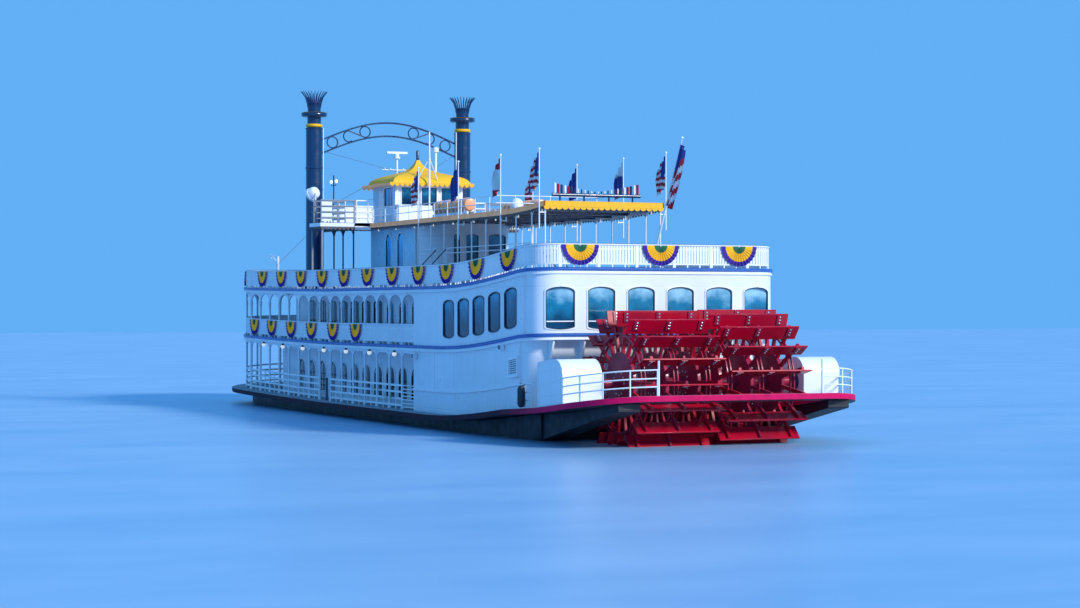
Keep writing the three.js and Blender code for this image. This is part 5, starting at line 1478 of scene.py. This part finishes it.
def bridge_wings():
    """A wing on each side of the bridge deck, out to the ship's side, with its posts and rail."""
    under, inner, (aft, fore, reach) = ROOF_TOP - ROOF_THICK, BRIDGE_HALF + 0.002, WING.values()
    hang, inset = under - 0.03, 0.05
    for side, sign in SIDES:
        shape = Shape()
        near, far = sign * inner, sign * reach
        port, starboard = max(near, far), min(near, far)
        strip(shape, line_places(aft, fore), lambda q: port, lambda q: starboard, under, ROOF_TOP)
        edge = [(aft, near), (aft, far), (fore, far), (fore, near)]
        shape.sweep(edge, flat_rail(-0.04, 0.159, 0.02), under, finish=1)
        teeth(shape, across, starboard, port, hang + rise(aft), 0.2, 0.26, aft - 0.01, aft + 0.02, finish=3)
        teeth(shape, on_side(sign), aft, fore, hang, 0.2, 0.26, reach - 0.02, reach + 0.01, sheer=True,
              finish=3)
        for q in (aft + 0.1, fore - 0.1):
            column(shape, q, sign * (reach - 0.12), PROMENADE_TOP, hang, 0.06)
        out = sign * (reach - inset)
        rail = [(aft + inset, near), (aft + inset, out), (fore - inset, out), (fore - inset, near)]
        pipe_rail(shape, rail, BARS, 0.98)
        shape.block((aft + 0.09, aft + 0.12), sorted((sign * 5.3, sign * 5.9)), PANEL, sheer=True, finish=1)
        make(f"bridge_wing_{side}", shape, [DECK, WHITE, NAVY, TOOTH])


def bridge():
    """Posts and beams under the bridge deck, its barred rail with panels, and the awning's roof rail."""
    beam, line, side_out = ROOF_TOP - ROOF_THICK - 0.2, 3.82, 3.905
    aft, fore, corner = 29.79, 38.21, 36.0
    for side, sign in SIDES:
        shape, y = Shape(), line * sign
        shape.sweep(side_path(30.4, 38.2, y), flat_rail(0, 0.199, 0.055), beam)
        for q in (30.5, 32.3, 33.9, 36.4, 38.0):
            column(shape, q, y, PROMENADE_TOP, beam + 0.04, 0.045)
            for way in (1, -1):
                if 30.3 < q + way * 0.5 < 38.2:
                    knee(shape, q, y, (way, 0), beam + 0.01)
        make(f"bridge_columns_{side}", shape, NAVY, replaces=[f"bridge_deck_posts_{side}"])
    rail, panels = Shape(), Shape()
    turn = WING["fore"]
    pipe_rail(rail, [(turn, side_out), (corner, side_out), (fore, side_out), (fore, 0), (fore, -side_out),
                     (corner, -side_out), (turn, -side_out)], BARS, 1.05)
    for sign in (1, -1):
        pipe_rail(rail, [(aft, sign * 3.2), (aft, sign * side_out)], BARS, 0.7)
    scroll = [(0, 0), *arc(0, 0, 0.62, -0.62, 0, math.pi / 2, 10)]
    for sign in (1, -1):
        out = sorted((sign * (side_out + 0.02), sign * (side_out + 0.05)))
        panels.block((corner + 0.1, fore + 0.02), out, PANEL, sheer=True)
        panels.prism(scroll, lambda a, b, depth: (38.0 - a, depth, beam - 0.01 + b), sign * 3.79,
                     sign * 3.85, sheer=True)
    panels.block((fore + 0.01, fore + 0.04), (-side_out, side_out), PANEL, sheer=True)
    make("bridge_rail_pipes", rail, WHITE, replaces=["bridge_deck_rail"])
    make("bridge_rail_panels", panels, WHITE, bevel=0.01)
    bridge_lamps(side_out)
    roof = Shape()
    loop = [(29.68, 2.915), (12.0, 2.915), (12.0, -2.915), (29.68, -2.915)]
    for height in (0.42, 0.78):
        for (q0, y0), (q1, y1) in zip(loop, loop[1:]):
            roof.bar(side_path(q0, q1, y0) if y0 == y1 else [(q0, y0), (q1, y1)], ROOF_TOP + height, 0.022)
    for q, y, _ in walk(loop, BAY, 0.01):
        roof.post(q, y, ROOF_TOP, ROOF_TOP + 0.78, 0.028)
    make("awning_rail_pipes", roof, WHITE, replaces=["awning_rail"])


def bridge_lamps(side_out):
    """The searchlight on the port wing, and a lamp post with two lamps at each side of the bridge."""
    lamps, at, out = Shape(), 31.2, WING["reach"] - 0.05
    low, high, aim = ROOF_TOP + 1.24, ROOF_TOP + 1.72, (0.75, 0.5, -0.4)
    lamp = [(0, 0), (0.05, 0.02), (0.1, 0.12), (0.08, 0.2), (0, 0.24)]
    lamps.tube([(at, out, low), (at, out, high - 0.4)], 0.06, 12)
    yoke = [(-0.4, high), (-0.4, high - 0.4), (0.4, high - 0.4), (0.4, high)]
    lamps.tube([(at + along, out, z) for along, z in yoke], 0.03, 8)
    drum = [(0, -0.32), (0.14, -0.32), (0.28, -0.24), (0.34, -0.12), (0.35, 0.12), (0.37, 0.14),
            (0.37, 0.28), (0.34, 0.29)]
    lamps.lathe(drum, (at, out, high), aim, sides=28)
    lamps.lathe([(0.34, 0.26), (0.2, 0.29), (0, 0.3)], (at, out, high), aim, sides=28, finish=2)
    for y in (side_out, -side_out):
        lamps.tube([(33.7, y, 11.75), (33.7, y, 13.5)], 0.035, 10, finish=1)
        bracket = [(33.25, 13.05), (33.35, 12.9), (34.05, 12.9), (34.15, 13.05)]
        lamps.tube([(q, y, z) for q, z in bracket], 0.022, 8, finish=1)
        for q in (33.25, 34.15):
            lamps.lathe(lamp, (q, y, 13.0), sides=14, finish=2)
    make("searchlights", lamps, [WHITE, NAVY, LAMP])


hurricane_deck()
bridge()
bridge_wings()

# Pilothouse

# The pilothouse's aft and fore walls, its half width, its roof's edge and its band of windows
HOUSE_AT = (28.6, 32.2)
PILOT_HALF = 2.03
EAVES = 12.75
OVERHANG = 0.5
BAND = dict(low=11.6, high=12.6)


def pilothouse():
    """Window bands, a bell-shaped roof with fringes round its eaves, and the fittings on the roof."""
    nodes, (aft, fore) = frame["nodes"], HOUSE_AT
    dress(nodes["pilothouse_walls"], BLUE)
    for side, sign in SIDES:
        dress(nodes[f"pilothouse_door_{side}"], WHITE)
        side_window = dict(at=aft + 1.0, width=1.4, **BAND)
        # The side windows have glass with a painted sky reflection across the whole pane.
        glaze(f"pilothouse_{side}", [side_window], on_side(sign), PILOT_HALF, sheer=False,
              mullions=2, pane=PAINTED_SKY_GLASS)
    cross = [dict(at=y, width=0.9, **BAND) for y in (-1.2, 0, 1.2)]
    glaze("pilothouse_aft", cross, lambda a, b, depth: (aft - depth, a, b), 0, sheer=False)
    glaze("pilothouse_fore", cross, lambda a, b, depth: (fore + depth, a, b), 0, sheer=False,
          pane=DARK_GLASS)
    face, wide = Shape(), PILOT_HALF + 0.005
    face.prism(rectangle(-wide, wide, ROOF_TOP, EAVES), across, aft - 0.012, aft - CLEAR,
               holes=[window(**one) for one in cross])
    make("pilothouse_aft_panel", face, WHITE)
    middle, along, athwart = (aft + fore) / 2, (fore - aft) / 2 + OVERHANG, PILOT_HALF + OVERHANG
    bell_roof(middle, along, athwart)
    roof_fittings(middle)
    fringe, low = Shape(), EAVES + 0.02 + rise(middle)
    astern, ahead = middle - along, middle + along
    teeth(fringe, across, -athwart, athwart, low + 0.07, 0.22, 0.3, astern - 0.01, astern + 0.02,
          sharp=False)
    # The side and fore fringes have the tan copy of the yellow, painted shade and painted glow; the aft
    # fringe is plain yellow.
    for _, sign in SIDES:
        teeth(fringe, on_side(sign), astern, ahead, low, 0.14, 0.2, athwart - 0.02, athwart + 0.01, finish=1)
    teeth(fringe, across, -athwart, athwart, low, 0.2, 0.27, ahead - 0.02, ahead + 0.01, finish=1)
    make("pilothouse_fringe", fringe, [YELLOW, PAINTED_SHADE_YELLOW], smooth=False)


def bell_roof(middle, along, athwart):
    """Rings of a rounded rectangle that shrink as they rise: an eave board, and a crown stepped in from it.

    Each ring is a height above the eaves and a share of the eaves' size.
    """
    shape, per_side = Shape(), 10
    rows = [(0.0, 0.84), (0.0, 0.99), (0.02, 1.0), (0.06, 1.0), (0.07, 0.98)]
    crown = [(0.06, 1.0), (0.16, 0.99), (0.26, 0.965), (0.36, 0.92), (0.44, 0.86), (0.52, 0.77),
             (0.59, 0.67), (0.66, 0.56), (0.73, 0.45), (0.81, 0.345), (0.91, 0.25), (1.04, 0.17),
             (1.2, 0.105), (1.36, 0.06), (1.5, 0.035)]
    square = [(1, 1), (-1, 1), (-1, -1), (1, -1)]
    # The eave board has the tan copy of the roof's yellow: painted shade and painted glow; the crown is
    # plain yellow.
    for layers, (fore_share, side_share), finish in ((rows, (1, 1), 1), (crown, (0.8, 0.92), 0)):
        points = []
        for height, share in layers:
            for (i0, j0), (i1, j1) in zip(square, square[1:] + square[:1]):
                for t in steps(0, 1, per_side)[:-1]:
                    narrow = share * (1 - 0.03 * math.sin(math.pi * t) * min(1, height * 3))
                    i, j = (i0 + (i1 - i0) * t) * narrow, (j0 + (j1 - j0) * t) * narrow
                    q = middle + i * along * (fore_share if i > 0 else 1)
                    points.append((q, j * athwart * side_share, EAVES + CLEAR + height))
        shape.rings(points, len(layers), per_side * 4, sheer=True, finish=finish)
    make("pilothouse_roof_shell", shape, [YELLOW, PAINTED_SHADE_YELLOW], replaces=["pilothouse_roof"],
         angle=25)


def roof_fittings(middle):
    """A finial, and a capped pipe beside it."""
    trim = Shape()
    finial = [(0, 0), (0.09, 0), (0.09, 0.8), (0.06, 0.85), (0, 0.85)]
    trim.lathe(finial, (middle, 0, EAVES + 1.22), sides=20)
    pipe = [(0, 0), (0.07, 0), (0.07, 1.3), (0.18, 1.32), (0.18, 1.52), (0.1, 1.58), (0, 1.58)]
    trim.lathe(pipe, (30.5, -1.14, 13.46), sides=20, finish=1)
    make("pilothouse_finial", trim, [NAVY, WHITE])


pilothouse()

# Fittings on the roof and on deck


def calliope():
    """A steam organ: whistles on a trunk, tall and thick in red, white and navy at its ends."""
    shape, at, half, count = Shape(), 6.7, 2.3, 26
    deck = ROOF_TOP + rise(at)
    trunk = deck + 0.33
    shape.tube([(at, y, trunk + 0.07) for y in steps(-half, half, 12)], 0.085, 16)
    for y in (-1.9, -0.65, 0.65, 1.9):
        shape.tube([(at, y, deck - 0.03), (at, y, trunk + 0.05)], 0.045, 10)
        shape.lathe([(0, 0), (0.1, 0), (0.1, 0.03), (0, 0.03)], (at, y, deck), sides=14)
    for i in range(count):
        share = 2 * i / (count - 1) - 1
        thick = abs(share) > 0.55
        tall, wide = 0.14 + 0.38 * abs(share) ** 1.3, 0.062 if thick else 0.035
        finish = (3, 2, 0)[i % 3] if thick else (2, 0)[i % 2]
        whistle = [(0, 0.06), (wide, 0.06), (wide, 0.1), (wide / 2, 0.12), (wide, 0.14), (wide, 0.05 + tall),
                   (0, 0.08 + tall)]
        shape.lathe(whistle, (at, half * 0.94 * share, trunk + 0.04), sides=12, finish=finish)
    make("calliope_whistles", shape, [NAVY, NAVY, WHITE, RED], replaces=["calliope"])


def masts():
    """The signal mast with its yard, the turning radar bar on top of it, and the braced whistle mast."""
    shape, at, foot, top, yard = Shape(), 33.8, ROOF_TOP + rise(33.8), 14.65, 13.9
    shape.tube([(at, 0, foot), (at, 0, 12.5), (at, 0, top)], [0.09, 0.08, 0.065], 16)
    shape.lathe([(0, 0), (0.25, 0), (0.25, 0.05), (0.14, 0.12), (0, 0.12)], (at, 0, foot), sides=20)
    shape.lathe([(0, 0), (0.2, 0.04), (0.2, 0.12), (0, 0.12)], (at, 0, top - 0.121), sides=20)
    shape.tube([(at, -0.9, yard), (at, 0.9, yard)], 0.028, 10)
    for y in (-0.75, -0.4, 0.4, 0.75):
        shape.lathe([(0, 0), (0.05, 0), (0.05, 0.1), (0, 0.12)], (at, y, yard), sides=12)
    make("signal_mast_turned", shape, WHITE, replaces=["signal_mast"])
    shape, low = Shape(), top + 0.0015
    shape.lathe([(0, 0), (0.14, 0), (0.14, 0.14), (0.1, 0.19), (0, 0.19)], (at, 0, low), sides=20)
    arm = [(-0.1, 0.18), (0.1, 0.18), (0.1, 0.29), (0.07, 0.32), (-0.07, 0.32), (-0.1, 0.29)]
    shape.prism(arm, lambda a, b, depth: (at + a, depth, low + b), -0.64, 0.64)
    make("radar_bar", shape, PLASTIC, "radar_scanner_body", replaces=["radar_scanner"],
         bevel=0.02)
    shape, (q, y), foot = Shape(), (27.9, 0.25), ROOF_TOP
    turned = [(0, 0), (0.16, 0), (0.16, 0.06), (0.08, 0.1), (0.05, 0.16), (0.05, 3.5), (0.07, 3.52),
              (0.07, 3.62), (0.05, 3.64), (0.04, 5.12), (0, 5.12)]
    shape.lathe(turned, (q, y, foot), sides=20)
    for spread in (-0.62, 0.62):
        shape.tube([(28.22, y + spread, 13.0), (q + 0.03, y + spread * 0.06, foot + 3.57)], 0.028, 10)
    make("whistle_mast_turned", shape, WHITE, replaces=["whistle_mast"])


def rafts():
    """Canisters in a row on two runners, each held by two cradles and bands."""
    radius, length, first, pitch, count, wide = 0.34, 1.05, 17.55, 1.2, 4, 0.06
    middle, foot = ROOF_TOP + 0.26 + radius, ROOF_TOP + 0.2
    half = [(0, 0), (radius - 0.12, 0), (radius - 0.04, 0.025), (radius, 0.09), (radius, length / 2 - 0.05),
            (radius + 0.015, length / 2 - 0.04)]
    profile = half + [(r, length - along) for r, along in reversed(half)]
    cup = arc(0, middle, radius + 0.005, radius + 0.005, math.radians(215), math.radians(325), 8)
    last = first + (count - 1) * pitch + length
    for side, sign in SIDES:
        cans, cradles, y = Shape(), Shape(), sign * 2.0
        for q in [first + i * pitch for i in range(count)]:
            cans.lathe(profile, (q, y, middle), (1, 0, 0), sides=32)
            for at in (0.2, 0.79):
                cradles.lathe(flat_ring(radius, radius + 0.01, at, at + wide), (q, y, middle), (1, 0, 0))
                cradle = [(y + a, b) for a, b in [(-0.28, foot), *cup, (0.28, foot)]]
                cradles.prism(cradle, across, q + at, q + at + wide)
        for runner in (y - 0.2, y + 0.2):
            cradles.block((first - 0.1, last + 0.1), (runner - 0.05, runner + 0.05),
                          (ROOF_TOP, ROOF_TOP + 0.24))
        make(f"raft_canisters_{side}", cans, ORANGE, replaces=[f"raft_row_{side}"])
        make(f"raft_cradles_{side}", cradles, WHITE, bevel=0.008)


def roof_locker():
    """A locker with a lid and a latch, on a plinth ahead of the rafts."""
    shape, lid = Shape(), ROOF_TOP + 0.95
    shape.block((27.3, 28.2), (1.3, 2.3), (ROOF_TOP + 0.08, lid))
    shape.block((27.27, 28.23), (1.27, 2.33), (lid, lid + 0.05))
    shape.block((27.35, 28.15), (1.35, 2.25), (ROOF_TOP, ROOF_TOP + 0.1), finish=1)
    shape.block((27.7, 27.8), (2.33, 2.35), (ROOF_TOP + 0.75, ROOF_TOP + 0.92), finish=1)
    make("roof_locker", shape, [WHITE, NAVY], bevel=0.012)


def awning_stairs():
    """Pipes that join the awning's posts at two heights, and a short stair to each side between them."""
    (aft, fore), (low, high), line, tread = (18.4, 19.8), (8.67, 8.92), 3.0, 0.24
    deck, newel, top = PROMENADE_TOP + rise(aft), line + 1.06, 0.9
    for side, sign in SIDES:
        shape, y = Shape(), sign * line
        for start, end in ((4 * BAY, aft), (fore, 12 * BAY)):
            for z in (low, high):
                shape.tube([(start, y, z), (end, y, z)], 0.024, 8)
        for q in (aft, fore):
            shape.tube([(q, y, deck), (q, y, high)], 0.035, 8)
            for drop, radius, finish in ((0.02, 0.03, 1), (0.92, 0.06, 0)):
                foot = max(deck, deck + top - drop)
                shape.tube([(q, y, high - drop), (q, sign * (line + 1.1), foot)], radius, 8, finish=finish)
            shape.tube([(q, sign * newel, deck), (q, sign * newel, deck + top)], 0.03, 8, finish=1)
        for k in range(4):
            out, z = line + 0.14 + tread * k, high - 1.0 - 0.22 * k
            across_tread = sorted((sign * (out - tread / 2), sign * (out + tread / 2)))
            shape.block((aft, fore), across_tread, (z - 0.03, z))
        make(f"awning_stair_{side}", shape, [WHITE, NAVY])


def dome():
    """The antenna's plastic dome on its foot."""
    profile = [(0, 0), (0.18, 0), (0.18, 0.03), (0.16, 0.05), (0.16, 0.3), (0.31, 0.33), (0.34, 0.37),
               (0.35, 0.48), (0.34, 0.6), (0.3, 0.72), (0.22, 0.82), (0.11, 0.88), (0, 0.9)]
    shape = Shape()
    shape.lathe(profile, (16.2, 0, ROOF_TOP), sides=40)
    make("antenna_dome_shell", shape, PLASTIC, replaces=["antenna_dome"])


def davits():
    """A column at each side of the bow, with a braced boom that turns on it."""
    q, top, low, head = 44.4, 8.55, 8.5515, 0.62
    foot = PROMENADE_TOP + rise(q)
    profile = [(0, 0), (0.2, 0), (0.2, 0.05), (0.12, 0.09), (0.09, 0.14), (0.09, top - foot),
               (0, top - foot)]
    for side, sign in SIDES:
        shape, y = Shape(), 3.9 * sign
        shape.lathe(profile, (q, y, foot), sides=24)
        make(f"davit_column_{side}", shape, WHITE, replaces=[f"davit_post_{side}"])
        shape = Shape()
        bars = (([(0, 0), (0, 0.5)], [0.09, 0.07], 16),
                ([(0, 0.08), (0.8, 0.36), (1.5, head)], [0.055, 0.05, 0.04], 12),
                ([(0, 0.46), (1.5, head)], 0.028, 10), ([(1.45, head), (1.45, 0.4)], 0.045, 12))
        for path, radius, round_sides in bars:
            shape.tube([(q + along, y, low + up) for along, up in path], radius, round_sides)
        make(f"davit_boom_{side}", shape, WHITE, f"davit_arm_{side}_body",
             replaces=[f"davit_arm_{side}"])


def fender():
    """A low rail and a dark fender on the port guard, ahead of the wheel housing."""
    shape, deck, out, at = Shape(), MAIN_TOP, 6.42, 0.4
    pipe_rail(shape, [(-0.35, out), (1.25, out)], (0.35, 0.7, 1.05), 0.8, deck, 0.028)
    drum = [(0, 0.05), (0.12, 0.08), (0.17, 0.2), (0.17, 0.85), (0.12, 0.97), (0.05, 1.0), (0, 1.0)]
    shape.lathe(drum, (at, out + 0.21, deck + rise(at)), sides=20, finish=1)
    hook = [(at, out + 0.21, deck + 0.98 + rise(at)), (at, out, deck + 1.05 + rise(at))]
    shape.tube(hook, 0.025, 8, finish=1)
    make("guard_fender", shape, [WHITE, RUBBER])


def deck_lamps():
    """Globe lamps under the saloon deck, and floodlights on the main house."""
    globes, floods, out = Shape(), Shape(), HOUSE_SIDE - 0.02
    globe = [(0, -0.13), *arc(0, 0, 0.12, 0.12, -1.4, 1.0, 8)]
    cap = [(0.1, 0.08), (0.06, 0.13), (0.03, 0.2), (0, 0.2)]
    for _, sign in SIDES:
        for n in range(9, 22, 2):
            q = (n + 0.5) * BAY
            place = (q, sign * 6.09, SALOON_TOP - DECK_THICK - 0.2 + rise(q))
            globes.lathe(globe, place, sides=16)
            globes.lathe(cap, place, sides=16, finish=1)
    make("globe_lamps", globes, [LAMP, NAVY])
    for _, sign in SIDES:
        for q, height in ((14.6, 3.35), (3.6, 3.5)):
            z = height + rise(q)
            floods.block((q - 0.16, q + 0.16), sorted((sign * 6.12, sign * 6.32)), (z, z + 0.26))
            floods.block((q - 0.13, q + 0.13), sorted((sign * 6.31, sign * 6.33)), (z + 0.03, z + 0.22),
                         finish=1)
            floods.tube([(q, sign * out, z + 0.1), (q, sign * 6.2, z + 0.1)], 0.04, 8)
    make("floodlights", floods, [WHITE, NAVY], bevel=0.015)


calliope()
masts()
rafts()
roof_locker()
awning_stairs()
dome()
davits()
fender()
deck_lamps()
for side, _ in SIDES:
    dress(frame["nodes"][f"rudder_{side}"], HULL)
